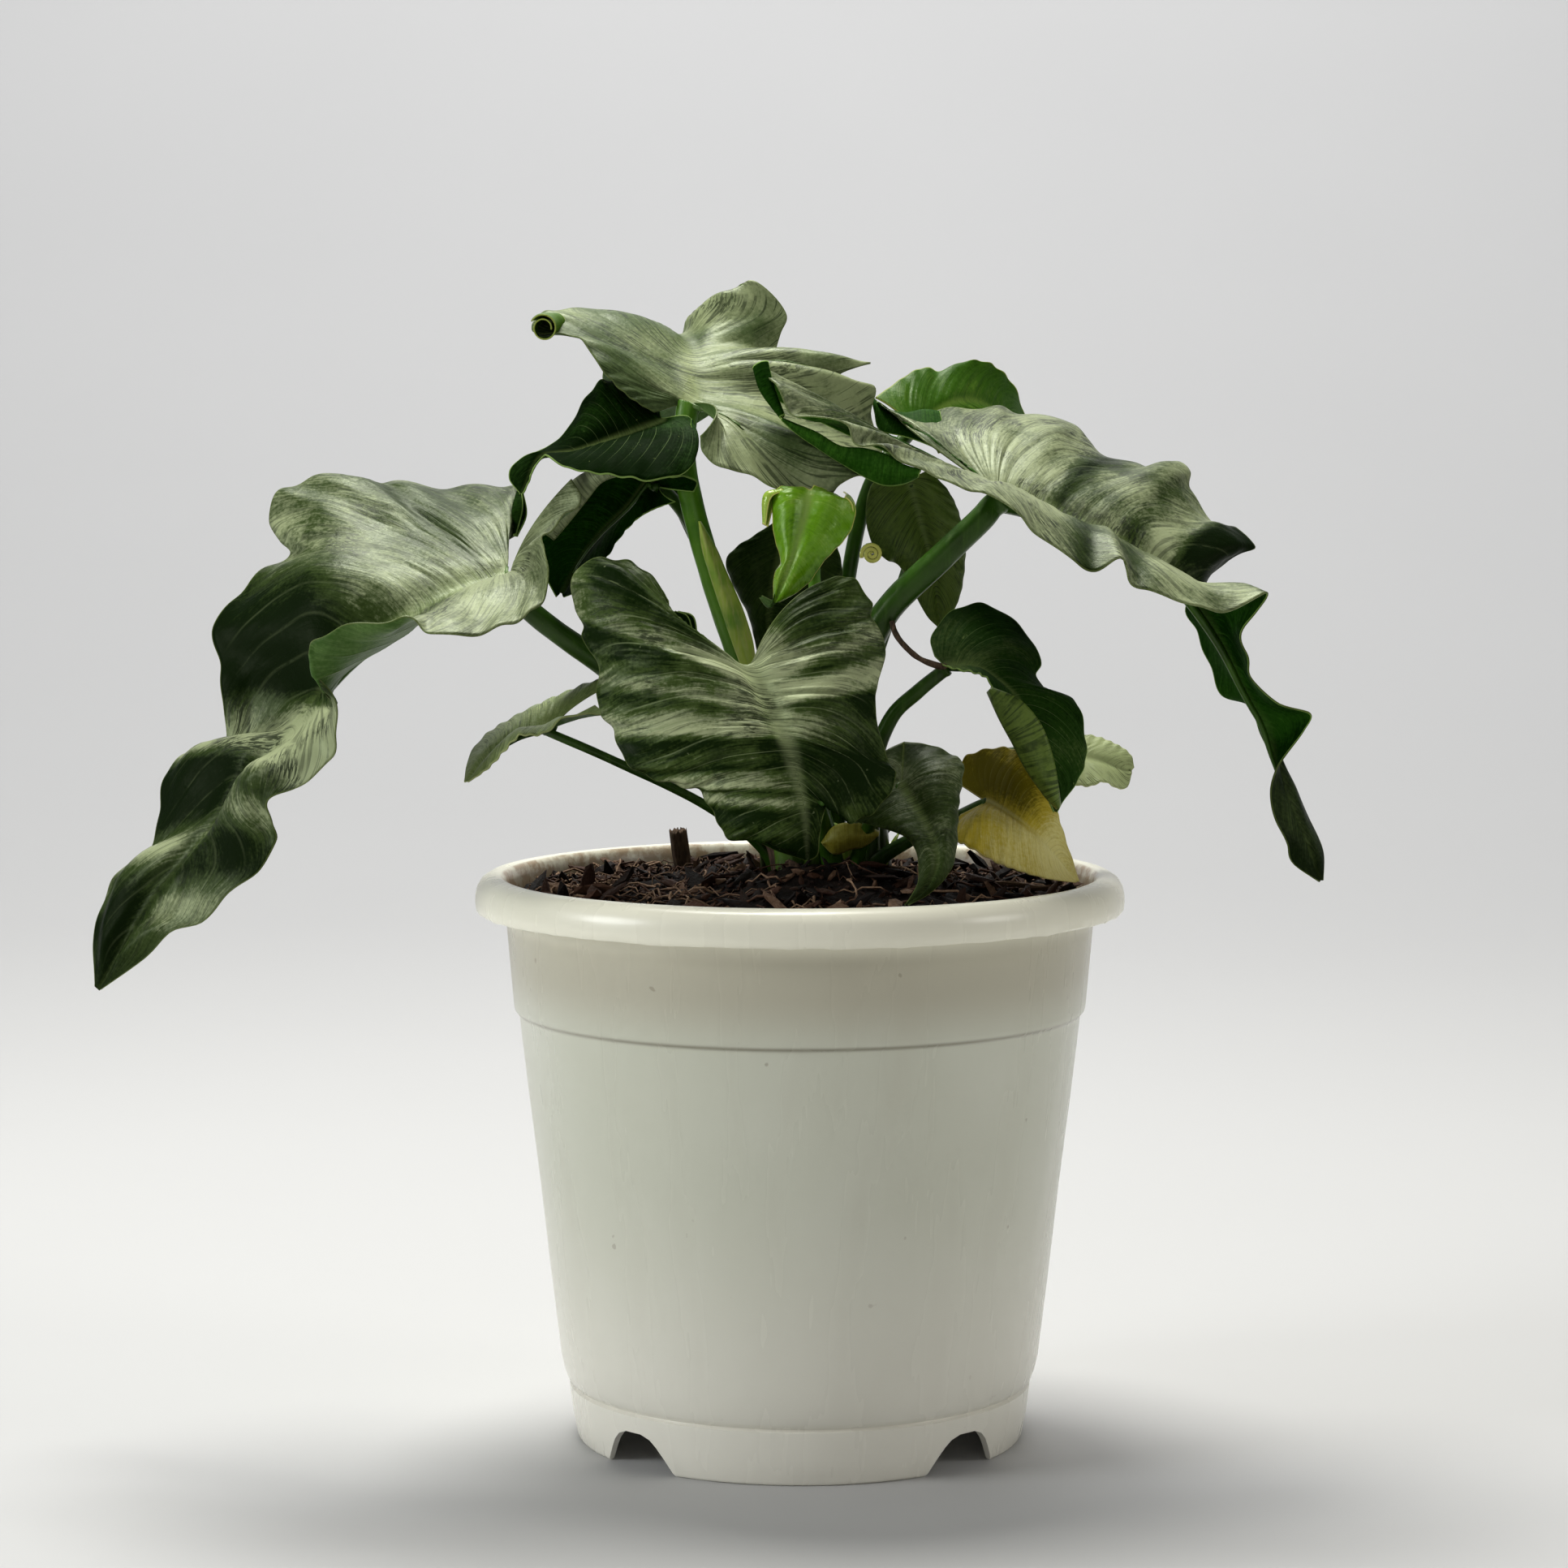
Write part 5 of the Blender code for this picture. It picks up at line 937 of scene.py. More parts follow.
scrolls = {
    "leafTopRoll": dict(route=[(-78, -4, 342.4), (-78, 3, 343), (-75, 10, 344)],
                        facing=(-1, 0, 0.5), radii=(4.3, 4.2, 3.4), turns=1.45, tighten=0.45,
                        tone=0.75, look="brightTop", inside="brightTop", slot="leaf_dark"),
    "leafRightRoll": dict(route=[(-12, -20.5, 331), (-10, -23.5, 324), (-5.4, -28, 315.6)],
                          facing=(1, -0.4, 0), radii=(2.6, 2.3, 0.8), turns=0.85, tighten=0.2,
                          tone=0.3, look="deepUnder", inside="deepUnder", slot="leaf_dark"),
    "leafLeftRoll": dict(route=[(-86.6, 22, 293), (-86, 20, 286), (-88, 18, 278.6)],
                         facing=(0, -1, 0), radii=(1.2, 3.6, 1.0), turns=0.55, tighten=0.1,
                         tone=0.2, look="deepTop", inside="deepUnder", slot="leaf_dark"),
    "youngFold": dict(route=[(-4.6, -35, 293.6), (-9, -35.6, 291.4), (-10.4, -36, 283.4)],
                      facing=(0.3, -1, 0.4), radii=(1.6, 2.4, 1.0), turns=0.8, tighten=0.3,
                      tone=0.9, look="limeTop", inside="limeTop", slot="leaf_bright"),
    "youngRoll": dict(route=[(11.5, -37, 288), (11.8, -32, 288.6), (11.4, -27, 289.6)],
                      facing=(0.4, 0, 1), radii=(4.2, 4.6, 4.0), turns=0.8, tighten=0.15,
                      tone=0.9, look="limeTop", inside="paleTop", slot="leaf_bright"),
    "leafFrontRoll": dict(route=[(-37, -44, 258), (-33, -46, 256), (-31, -48, 249)],
                          facing=(0, -1, 0.3), radii=(1.0, 2.0, 0.8), turns=0.7, tighten=0.2,
                          tone=0.3, look="deepTop", inside="deepUnder", slot="leaf_dark"),
    "youngCoil": dict(route=[(21.5, -25, 274.5), (21.5, -21, 274.5), (21.4, -19, 274.6)],
                      facing=(-1, 0, -0.4), radii=(3.2, 3.2, 2.8), turns=2.4, tighten=0.95,
                      thickness=1.1, tone=0.35, look="limeTop", inside="limeTop",
                      slot="leaf_bright"),
}
for name, scroll in scrolls.items():
    makeScroll(name, scroll)


folds = {  # narrow flaps of underside showing past a margin: row, then upper and lower edge
    "leafRightFold": dict(look="deepUnder", tone=0.6, slot="leaf_dark", edges=[
        (0, -6, -28, 315.4, -5.6, -27, 314.6), (1, -1, -30, 313.4, -1.6, -27, 311.4),
        (2, 5, -31, 311, 4, -27, 307.4), (3, 12, -32, 307, 10.6, -28, 302.6),
        (4, 19, -33, 306.4, 18, -29, 298), (5, 25.5, -34, 304.6, 24.5, -30, 295.4),
        (6, 31, -35, 301.5, 30.4, -31, 296), (7, 36, -36, 300, 35, -33, 298)]),
    "leafMiddleRightFold": dict(look="oliveGreen", tone=0.85, slot="leaf_dark", edges=[
        (0, 57, -34, 235, 56, -33, 233.4), (1, 65.5, -37, 231.5, 59.5, -35, 226),
        (2, 72, -38, 224, 63, -36, 219), (3, 75.6, -38, 214, 67, -36, 211),
        (4, 77.2, -37, 205.4, 72.5, -36, 203.6), (5, 78, -35, 200, 77, -34, 198.6)]),
    "baseLeaf": dict(look="oliveTop", tone=0.6, slot="leaf_yellow", edges=[
        (0, 6.5, -23, 187, 7, -22, 186.4), (1, 10, -25, 192, 10.5, -24, 184),
        (2, 15, -26, 193.5, 15, -24, 184.6), (3, 20, -25, 192.5, 19, -24, 186),
        (4, 24, -24, 190.4, 23.4, -23, 189.4)]),
    "leafLeftInnerFold": dict(look="darkTop", tone=0.95, slot="leaf_dark", edges=[
        (0, -79, -8, 281, -75, -10, 278), (1, -75.5, -9, 289.6, -70.5, -12, 283.5),
        (2, -68.6, -11, 296.6, -64, -14, 291), (3, -63, -14.5, 299.7, -60, -17, 295.4),
        (4, -57, -17, 301, -55.4, -19, 298), (5, -49, -17.5, 301.5, -48.4, -18.5, 299.8)]),
    "leafRightHollow": dict(look="deepUnder", tone=0.5, slot="leaf_dark", edges=[
        (0, 22, 28, 322, 23.4, 27, 317), (1, 27, 30, 318, 25, 24, 311.6),
        (2, 33, 32, 316.6, 32, 22, 309), (3, 39, 34, 317.6, 39.4, 21, 307),
        (4, 44, 36, 317, 46, 20, 305)]),
}


foldShape = {"grid": (12, 50), "belly": 2.2, "waver": 0.4, "thickness": 0.5, "length": 30}


def makeFold(name, fold):
    # a sheet between two edges, bellied towards the front
    mesh = bmesh.new()
    layer = mesh.verts.layers.float_vector.new("leafMap")
    toneLayer = mesh.verts.layers.float.new("leafTonePaintedLight")
    across, along = foldShape["grid"]
    last = len(fold["edges"]) - 1
    bmesh.ops.create_grid(mesh, x_segments=across, y_segments=along, size=1.0)
    for vert in mesh.verts:
        s, t = (vert.co.x + 1) / 2, (vert.co.y + 1) / 2
        both = curveAt(fold["edges"], t * last)
        point = both[:3] + (both[3:] - both[:3]) * s
        point[1] -= foldShape["belly"] * math.sin(math.pi * s)
        point[2] += foldShape["waver"] * math.sin(9 * t + 3 * s) * s
        vert.co = place(point)
        reach = float(np.linalg.norm(both[3:] - both[:3]))
        toEnd = min(t, 1 - t) * foldShape["length"]
        vert[layer] = Vector((44 + 5 * t, 6.0, min((1 - s) * reach, toEnd)))
        vert[toneLayer] = fold["tone"]
    piece = finishPiece(name, mesh, [leafFinish[fold["look"]]])
    giveThickness(piece, foldShape["thickness"])


for name, fold in folds.items():
    makeFold(name, fold)

stalks = {
    "stalkLeft": dict(
        node="stalk_left", angle=180, radii=(3.8, 3.2), joint=(-90.4, -8.6, 264.4),
        route=[(-10, -1, 186), (-20, -3, 204), (-40, -5, 224), (-62, -6, 241), (-75, -7, 250.5),
               (-83, -7, 257), (-87.5, -7.5, 262)]),
    "stalkLowLeft": dict(
        node="stalk_low_left", angle=203, radii=(1.6, 1.2), joint=(-77.4, -18.2, 220.6),
        route=[(-12, -8, 184), (-30, -12, 198), (-57, -16, 211.5), (-75, -18.4, 219.6)]),
    "stalkTop": dict(
        node="stalk_top", bright=True, angle=227.5, radii=(4, 3.4), joint=(-34, -5, 319),
        route=[(-5, -10.5, 190), (-10, -9.5, 214), (-18, -8.5, 240), (-26, -8, 264),
               (-33, -7, 289), (-35.5, -6, 305), (-34.6, -5.5, 316.5)]),
    "stalkYoung": dict(
        node="stalk_young", bright=True, angle=254, radii=(2.2, 1.6), joint=(2.6, -37.4, 287),
        route=[(4, -20, 215), (4.5, -29, 255), (3.6, -35, 285.5)]),
    "stalkFront": dict(
        node="stalk_front", angle=278, radii=(3.2, 2.8), joint=(-14.6, -61.6, 241),
        route=[(9, -18, 185), (2, -32, 208), (-8, -47, 229), (-13.5, -57, 238.5)]),
    "stalkLowFront": dict(
        node="stalk_low_front", angle=302, radii=(2.2, 1.8), joint=(30, -48, 206),
        route=[(18, -18, 184), (23, -33, 198), (28, -44, 204)]),
    "stalkYellow": dict(
        node="stalk_yellow", angle=322, radii=(2.2, 1.8), joint=(57, -18, 198.4),
        route=[(24, -11, 180), (34, -14, 187), (46, -16, 193), (54.4, -17.2, 197.4)]),
    "stalkMiddleRight": dict(
        node="stalk_middle_right", angle=344, radii=(2.6, 2), joint=(45, -12.2, 239.2),
        route=[(22, -6, 190), (23, -9, 210), (28, -10, 224), (36, -11, 232), (42, -11.6, 237)]),
    "stalkRight": dict(
        node="stalk_right", angle=13, radii=(5, 3.6), joint=(61.6, -5.2, 290.4),
        route=[(22, 2, 190), (18, -1, 215), (19.5, -4, 240), (27, -5, 256.5), (42, -6, 271.5),
               (55, -6, 284), (58.5, -5.6, 288)]),
    "stalkPaleRight": dict(
        node="stalk_pale_right", angle=38, radii=(1.6, 1.3), joint=(76, 8.2, 210.6),
        route=[(24, 11, 184), (38, 14, 199), (55, 14, 208.5), (67, 11, 212), (73.4, 8.6, 211)]),
    "stalkBackLower": dict(
        node="stalk_back_lower", angle=56, radii=(2.2, 1.8), joint=(34.3, 22.8, 295.4),
        route=[(18, 18, 205), (24, 26, 240), (34, 33, 268), (36.5, 30, 288), (35, 25.4, 293)]),
    "stalkBackUpper": dict(
        node="stalk_back_upper", angle=77, radii=(2.6, 2.2), joint=(37, 41, 312),
        route=[(12, 17, 200), (13, 18, 240), (15.5, 22, 268), (22, 30, 294), (33.4, 38.4, 309)]),
    "stalkMiddle": dict(
        node="stalk_middle", angle=98, radii=(2.2, 1.6), joint=(-3.4, 13, 280.4),
        route=[(5, 19, 210), (1, 21, 250), (-2, 16, 278)]),
    "stalkTopLower": dict(
        node="stalk_top_lower", angle=119, radii=(2.4, 2), joint=(-42.6, -8.2, 314),
        route=[(-3, 15, 200), (-14, 13.5, 235), (-26, 11, 265), (-37, 8.5, 289), (-41, -1, 306),
               (-42, -7, 312)]),
    "stalkLeftInner": dict(
        node="stalk_left_inner", angle=141, radii=(2.4, 2), joint=(-43.4, -2.6, 293.6),
        route=[(-7, 7.5, 200), (-14, 5, 235), (-24, 2.5, 262), (-34, 3, 283),
               (-40, -0.6, 291.4)]),
}
for name, stalk in stalks.items():
    makeStalk(name, stalk)
print("stalks made")


def makeSheathFinish():
    tree, shader, material = newMaterial("sheathYellowGreen", Specular_IOR_Level=0.45)
    coords = objectCoords(tree)
    lines = noiseOf(tree, stretched(tree, coords, (1.0, 1.0, 0.1)), 800, 3, 0.5)
    broad = noiseOf(tree, coords, 70, 3)
    colour = blendColour(tree, spread(tree, broad, 0.35, 0.65), (0.15, 0.3, 0.014),
                         (0.4, 0.52, 0.06))
    colour = blendColour(tree, spread(tree, lines, 0.45, 0.7, 0.0, 0.6), colour,
                         (0.48, 0.5, 0.14))
    plugIn(tree, shader, colour, bumpOf(tree, lines, 0.4, 0.0003),
           spread(tree, lines, 0.3, 0.7, 0.4, 0.55))
    return material


sheathFinish = makeSheathFinish()

tallSheath = {
    "grid": (12, 60), "belly": 1.1, "waver": 0.25, "thickness": 0.4,
    "middle": [(0, -30.5, -13.4, 284), (3, -28, -13.6, 276), (6, -25.5, -13.7, 269),
               (10, -22, -13.7, 259), (14, -19, -13.7, 250), (20, -15.5, -13.9, 239)],
    "left": [(0, -30.3, -13.2, 284), (3, -25.6, -12.4, 276), (6, -22.6, -11.6, 269),
             (10, -17.8, -11, 258), (14, -14.6, -11, 248), (20, -13.2, -12.6, 238)],
    "right": [(0, -30.7, -13.2, 284), (3, -29.8, -13.2, 276), (6, -27.8, -13.2, 269),
              (10, -24.6, -13.4, 259), (14, -21.6, -13.6, 250), (20, -17.6, -13.8, 239)],
}


def makeTallSheath():
    columns, rowCount = tallSheath["grid"]
    mesh = bmesh.new()
    bmesh.ops.create_grid(mesh, x_segments=columns, y_segments=rowCount, size=1.0)
    for vert in mesh.verts:
        row = (vert.co.y + 1) / 2 * lastRow
        u = abs(vert.co.x)
        inner = curveAt(tallSheath["middle"], row)
        outer = curveAt(tallSheath["left" if vert.co.x < 0 else "right"], row)
        point = inner + (outer - inner) * u
        point[1] -= tallSheath["belly"] * (1 - u * u)
        point[1] -= tallSheath["waver"] * math.sin(row * 1.7) * u
        vert.co = place(point)
    piece = finishPiece("tallSheath", mesh, [sheathFinish], "sheath")
    giveThickness(piece, tallSheath["thickness"])


makeTallSheath()

crown = {"height": 180, "halfSize": (10, 10, 11)}
wrapping = {"count": 11, "seed": 5, "height": (9, 20), "width": (5, 9), "ring": 14.5,
            "foot": 170, "grid": (8, 16)}


def makeCrown():
    # the crown itself, and torn leaf sheaths standing round it
    random.seed(wrapping["seed"])
    mesh = bmesh.new()
    bmesh.ops.create_icosphere(mesh, subdivisions=4, radius=1.0)
    wide, deep, tall = crown["halfSize"]
    for vert in mesh.verts:
        x, y, z = vert.co
        lump = 1 + 0.12 * noise.noise(vert.co * 2.5)
        vert.co = place((stalkRing["middleX"] + wide * x * lump, deep * y * lump,
                         crown["height"] + tall * z * lump))
    finishPiece("crown", mesh, [sheathFinish], "crown")

    mesh = bmesh.new()
    columns, rowCount = wrapping["grid"]
    for k in range(wrapping["count"]):
        turn = 2 * math.pi * (k + 0.4 * random.random()) / wrapping["count"]
        tall = random.uniform(*wrapping["height"])
        wide = random.uniform(*wrapping["width"])
        ring = wrapping["ring"] + random.uniform(1.0, 4.0)
        lean = random.uniform(0.0, 0.35)
        for vert in bmesh.ops.create_grid(mesh, x_segments=columns, y_segments=rowCount,
                                          size=1.0)["verts"]:
            v = (vert.co.y + 1) / 2
            half = wide / 2 * (1 - v ** 2.2) ** 0.6 + 0.15
            angle = turn + vert.co.x * half / ring
            radius = ring + lean * tall * v * v - 1.4 * abs(vert.co.x) * (1 - v)
            radius += 0.5 * noise.noise(Vector((k * 3.1, vert.co.x, v * 3)))
            vert.co = place((stalkRing["middleX"] + radius * math.cos(angle),
                             radius * math.sin(angle), wrapping["foot"] + tall * v))
    wraps = finishPiece("crownWraps", mesh, [sheathFinish, dryFinish])
    for face in wraps.data.polygons:  # every fourth scrap is still green
        face.material_index = 0 if face.index // (columns * rowCount) % 4 == 0 else 1
    giveThickness(wraps, 0.5)


makeCrown()

dryRoot = {"route": [(28, -9.8, 253.4), (29, -11.4, 250), (31.5, -13, 246.5), (36, -15, 242.6),
                     (41.5, -16.4, 240.4), (44, -14.4, 240)], "radius": 0.9}


def makeDryRoot():
    line = routePoints(dryRoot["route"], 40)
    radii = [dryRoot["radius"] * mm * (1 + 0.25 * noise.noise(spot / mm / 3)) for spot in line]
    mesh = bmesh.new()
    addTube(mesh, line, radii, 10)
    finishPiece("dryRoot", mesh, [dryFinish], "dry_root")


makeDryRoot()
print("crown made")


def makePotFinish():
    tree, shader, material = newMaterial("potPlastic", Specular_IOR_Level=0.5)
    centred = addNode(tree, "ShaderNodeMapping", {"Vector": objectCoords(tree),
                      "Location": (-potAxis.x, -potAxis.y, 0)}).outputs[0]
    parts = partsOf(tree, centred)
    flat = addNode(tree, "ShaderNodeCombineXYZ", {0: parts["X"], 1: parts["Y"]}).outputs[0]
    radius = addNode(tree, "ShaderNodeVectorMath", {0: flat}, operation="LENGTH").outputs["Value"]
    broad = noiseOf(tree, centred, 9, 3)
    streaks = noiseOf(tree, stretched(tree, centred, (1, 1, 0.08)), 60, 4, 0.55)
    fine = noiseOf(tree, centred, 1400, 2)
    peel = noiseOf(tree, centred, 260, 2)
    specks = noiseOf(tree, centred, 170, 2, 0.3)
    colour = blendColour(tree, spread(tree, broad, 0.3, 0.7), (0.6, 0.61, 0.5),
                         (0.66, 0.67, 0.57))
    colour = blendColour(tree, spread(tree, streaks, 0.45, 0.75, 0.0, 0.35), colour,
                         (0.57, 0.56, 0.46))
    # painted shade: the band under the rim is darker
    colour = blendColour(tree, maths(tree, "MULTIPLY", spread(
        tree, parts["Z"], 0.13, 0.15, 0.0, 0.8), spread(tree, parts["Z"], 0.166, 0.164)), colour,
                         (0.46, 0.43, 0.33))
    colour = blendColour(tree, spread(tree, specks, 0.765, 0.79, 0.0, 0.5), colour,
                         (0.25, 0.21, 0.15))
    # painted light: the rim is made paler than the body below it
    rimPaintedLight = spread(tree, parts["Z"], 0.158, 0.166)
    for height, half in ((0.1334, 0.0011), (0.0174, 0.0009)):  # painted shade lines in the two moulded steps
        away = maths(tree, "ABSOLUTE", maths(tree, "SUBTRACT", parts["Z"], height))
        colour = blendColour(tree, spread(tree, away, half, 0.0, 0.0, 0.75), colour,
                             (0.26, 0.24, 0.18))
    colour = blendColour(tree, rimPaintedLight, colour, (0.9, 0.88, 0.73))
    # painted light: the body grows paler towards the bottom
    colour = blendColour(tree, spread(tree, parts["Z"], 0.1, 0.0, 0.0, 0.8), colour,
                         (0.95, 0.92, 0.82))
    inside = maths(tree, "MULTIPLY", spread(tree, radius, 0.0925, 0.0915),
                   spread(tree, parts["Z"], 0.1655, 0.1665))
    soiling = noiseOf(tree, centred, 130, 5, 0.65)
    stain = maths(tree, "MULTIPLY", inside, maths(tree, "ADD", spread(
        tree, soiling, 0.38, 0.62, 0.15, 0.8), spread(tree, parts["Z"], 0.1745, 0.169, 0.0, 0.5)))
    colour = blendColour(tree, maths(tree, "MINIMUM", stain, 0.85), colour, (0.33, 0.2, 0.1))
    bump = bumpOf(tree, peel, 0.05, 0.0006, bumpOf(tree, fine, 0.08, 0.0002))
    plugIn(tree, shader, colour, bump, spread(tree, streaks, 0.3, 0.7, 0.24, 0.3))
    return material


potFinish = makePotFinish()

pot = {
    "steps": 192,
    "outline": [  # radius and height, from the middle of the floor up the inside and down outside
        (0, 15.7), (40, 15.7), (64, 15.8), (68.4, 17), (69.9, 19.7), (72.8, 30), (76.4, 65),
        (80.6, 100), (84.9, 133), (87.2, 150), (89.4, 166), (90.3, 171.5), (90.9, 173.9),
        (91.9, 175.1), (93.6, 175.5), (96, 175.1), (98.1, 173.8), (99.4, 171.7), (99.9, 169.6),
        (100, 167.4), (99.8, 165.2), (99.2, 164.6), (98.1, 164.5), (97, 164.8), (96, 165.6),
        (93, 166.4), (91.4, 165.6), (90.8, 163.8), (90.4, 160), (89.2, 146), (88.3, 135.6),
        (88.0, 134), (87.4, 133.3), (86.9, 132.9), (86.6, 131.8), (84, 109), (80.4, 80),
        (77.3, 52), (74.9, 32), (74.2, 26), (73.2, 21.6), (72.3, 19.3), (71.7, 18.3),
        (71.0, 17.9), (70.8, 17.5), (71.0, 17.1), (71.6, 16.7), (71.6, 15.6), (70.6, 8),
        (69.2, 1.0), (68.6, 0.2), (67.9, 0), (67.2, 0.4), (67.4, 2.5), (68.6, 10.6),
        (67.6, 12.6), (64, 13.5), (40, 13.5), (0, 13.5)],
    "archHalf": 14.5, "archTop": 11.8, "arches": 4,
    "drains": 6, "drainRadius": 4.0, "drainCircle": 46.0,
    "flash": 0.35, "lipRadius": 97.5, "lipLow": 164.4, "lipHigh": 165.0,
    "outOfTrue": 0.0012, "trueBelow": 60, "height": 175,
}


def makePot():
    mesh = spinOutline(pot["outline"], pot["steps"], 0.00001)
    for vert in mesh.verts:  # moulding flash on the lower lip, and a rim a little out of true
        radius = math.hypot(vert.co.x, vert.co.y)
        turn = math.atan2(vert.co.y, vert.co.x)
        z = vert.co.z / mm
        if pot["lipLow"] < z < pot["lipHigh"] and radius > pot["lipRadius"] * mm:
            ragged = noise.noise(Vector((math.cos(turn), math.sin(turn), 0)) * 14)
            vert.co.z -= pot["flash"] * mm * max(0.0, ragged + 0.25) * 1.6
        if z > pot["trueBelow"]:
            share = (z - pot["trueBelow"]) / (pot["height"] - pot["trueBelow"])
            grow = 1 + pot["outOfTrue"] * share * math.sin(2 * turn + 0.5)
            vert.co.x *= grow
            vert.co.y *= grow
    bmesh.ops.translate(mesh, verts=mesh.verts, vec=potAxis)
    piece = finishPiece("pot", mesh, [potFinish], "pot")

    cutter = bmesh.new()
    half, top = pot["archHalf"], pot["archTop"]
    arch = [(-half, -3), (-half, 0), (-0.9 * half, 0.2 * top), (-0.77 * half, 0.45 * top),
            (-0.62 * half, 0.7 * top), (-0.46 * half, 0.88 * top), (-0.22 * half, 0.985 * top),
            (0.22 * half, 0.985 * top), (0.46 * half, 0.88 * top), (0.62 * half, 0.7 * top),
            (0.77 * half, 0.45 * top), (0.9 * half, 0.2 * top), (half, 0), (half, -3)]
    for k in range(pot["arches"]):
        face = cutter.faces.new([cutter.verts.new((x * mm, 0.05, z * mm)) for x, z in arch])
        sides = bmesh.ops.extrude_face_region(cutter, geom=[face])["geom"]
        moved = [part for part in sides if isinstance(part, bmesh.types.BMVert)]
        bmesh.ops.translate(cutter, verts=moved, vec=(0, 0.04, 0))
        bmesh.ops.rotate(cutter, verts=moved + list(face.verts), cent=(0, 0, 0),
                         matrix=Matrix.Rotation(math.radians(45 + 90 * k), 3, "Z"))
    for k in range(pot["drains"]):
        turn = 2 * math.pi * (k + 0.5) / pot["drains"]
        spot = Matrix.Translation((pot["drainCircle"] * math.cos(turn) * mm,
                                   pot["drainCircle"] * math.sin(turn) * mm, 0.0146))
        bmesh.ops.create_cone(cutter, cap_ends=True, segments=32, radius1=pot["drainRadius"] * mm,
                              radius2=pot["drainRadius"] * mm, depth=0.012, matrix=spot)
    bmesh.ops.recalc_face_normals(cutter, faces=cutter.faces)
    bmesh.ops.translate(cutter, verts=cutter.verts, vec=potAxis)
    tool = addObject("potCutter", meshData("potCutter", cutter, smooth=False))
    cut = piece.modifiers.new("cut", "BOOLEAN")
    cut.operation = "DIFFERENCE"
    cut.solver = "EXACT"
    cut.object = tool
    bpy.context.view_layer.update()
    graph = bpy.context.evaluated_depsgraph_get()
    finished = bpy.data.meshes.new_from_object(piece.evaluated_get(graph))
    piece.modifiers.clear()
    piece.data = finished
    bpy.data.objects.remove(tool, do_unlink=True)
    finished.shade_smooth()
    finished.set_sharp_from_angle(angle=math.radians(38))


makePot()
print("pot made")


def makeSoilFinish():
    tree, shader, material = newMaterial("soilBrown", Specular_IOR_Level=0.12)
    coords = objectCoords(tree)
    grains = noiseOf(tree, coords, 620, 6, 0.7)
    clods = noiseOf(tree, coords, 150, 5, 0.65)
    colour = blendColour(tree, spread(tree, clods, 0.35, 0.7), (0.0025, 0.0015, 0.001),
                         (0.014, 0.0075, 0.005))
    colour = blendColour(tree, spread(tree, grains, 0.55, 0.78, 0.0, 0.7), colour,
                         (0.07, 0.042, 0.028))
    bump = bumpOf(tree, clods, 0.8, 0.002, bumpOf(tree, grains, 0.9, 0.0012))
    plugIn(tree, shader, colour, bump, spread(tree, clods, 0.3, 0.7, 0.65, 0.95))
    return material


def makeBarkFinish():
    # tone is 0 for black humus, 0.5 for red-brown bark and 1 for pale fibre
    tree, shader, material = newMaterial("barkChips", Specular_IOR_Level=0.15)
    tone = attributeOf(tree, "tone")
    grain = noiseOf(tree, objectCoords(tree), 900, 5, 0.65)
    colour = blendColour(tree, spread(tree, tone, 0.0, 0.5), (0.003, 0.0018, 0.0013),
                         (0.055, 0.022, 0.011))
    colour = blendColour(tree, spread(tree, tone, 0.5, 1.0), colour, (0.33, 0.21, 0.13))
    colour = blendColour(tree, spread(tree, grain, 0.4, 0.75, 0.0, 0.5), colour,
                         (0.035, 0.02, 0.014))
    plugIn(tree, shader, colour, bumpOf(tree, grain, 0.7, 0.0006),
           spread(tree, grain, 0.3, 0.7, 0.5, 0.9))
    return material


soilFinish = makeSoilFinish()
barkFinish = makeBarkFinish()

soil = {
    "edge": 168.6, "top": 171.2, "seed": 11, "rough": 2.0, "radius": 89.0, "steps": 200,
    "heap": 9.5, "heapWidth": 29, "heapAt": (11, -12), "keepIn": 88,
    "rings": 70, "ringEdge": 88.6,
    "under": [(84.3, 133), (72.2, 30.2), (69.2, 20), (66, 16.2), (0.01, 16.2)],
}


def soilHeight(x, y):
    # surface of the soil in mm, heaped a little in the middle and low at the front
    radius = math.hypot(x, y)
    height = soil["top"] - (soil["top"] - soil["edge"]) * (radius / 90) ** 2
    spot = Vector((x, y, 0))
    height += soil["rough"] * noise.noise(spot / 17) + 1.5 * noise.noise(spot / 6.5)
    height += 0.5 * noise.noise(spot / 2.7)
    fromHeap = (x - soil["heapAt"][0]) ** 2 + (y - soil["heapAt"][1]) ** 2
    height += soil["heap"] * math.exp(-fromHeap / soil["heapWidth"] ** 2)
    return height - float(ramp(radius, 78, soil["radius"]))  # sunk along the wall


def makeSoil():
    rings = [(0.01 + soil["ringEdge"] * k / soil["rings"], 170) for k in range(soil["rings"] + 1)]
    mesh = spinOutline(rings + soil["under"], soil["steps"], 0.0002)
    for vert in mesh.verts:
        if vert.co.z > 0.16:
            vert.co.z = soilHeight(vert.co.x / mm, vert.co.y / mm) * mm
    bmesh.ops.translate(mesh, verts=mesh.verts, vec=potAxis)
    finishPiece("soilBed", mesh, [soilFinish], "soil")


def clearOfStalks(x, y):
    return math.hypot(x - stalkRing["middleX"], y) > (18.5 if y < 0 else 20)


chips = [  # how many, length range in mm, breadth and thickness shares, tone range
    dict(name="barkLarge", count=330, length=(7, 19), breadth=0.28, thick=0.15, tone=(0.0, 0.85)),
    dict(name="barkSmall", count=900, length=(2.5, 6), breadth=0.5, thick=0.3, tone=(0.0, 0.7)),
    dict(name="crumbs", count=1500, length=(0.9, 2.2), breadth=0.8, thick=0.7, tone=(0.0, 0.45)),
]


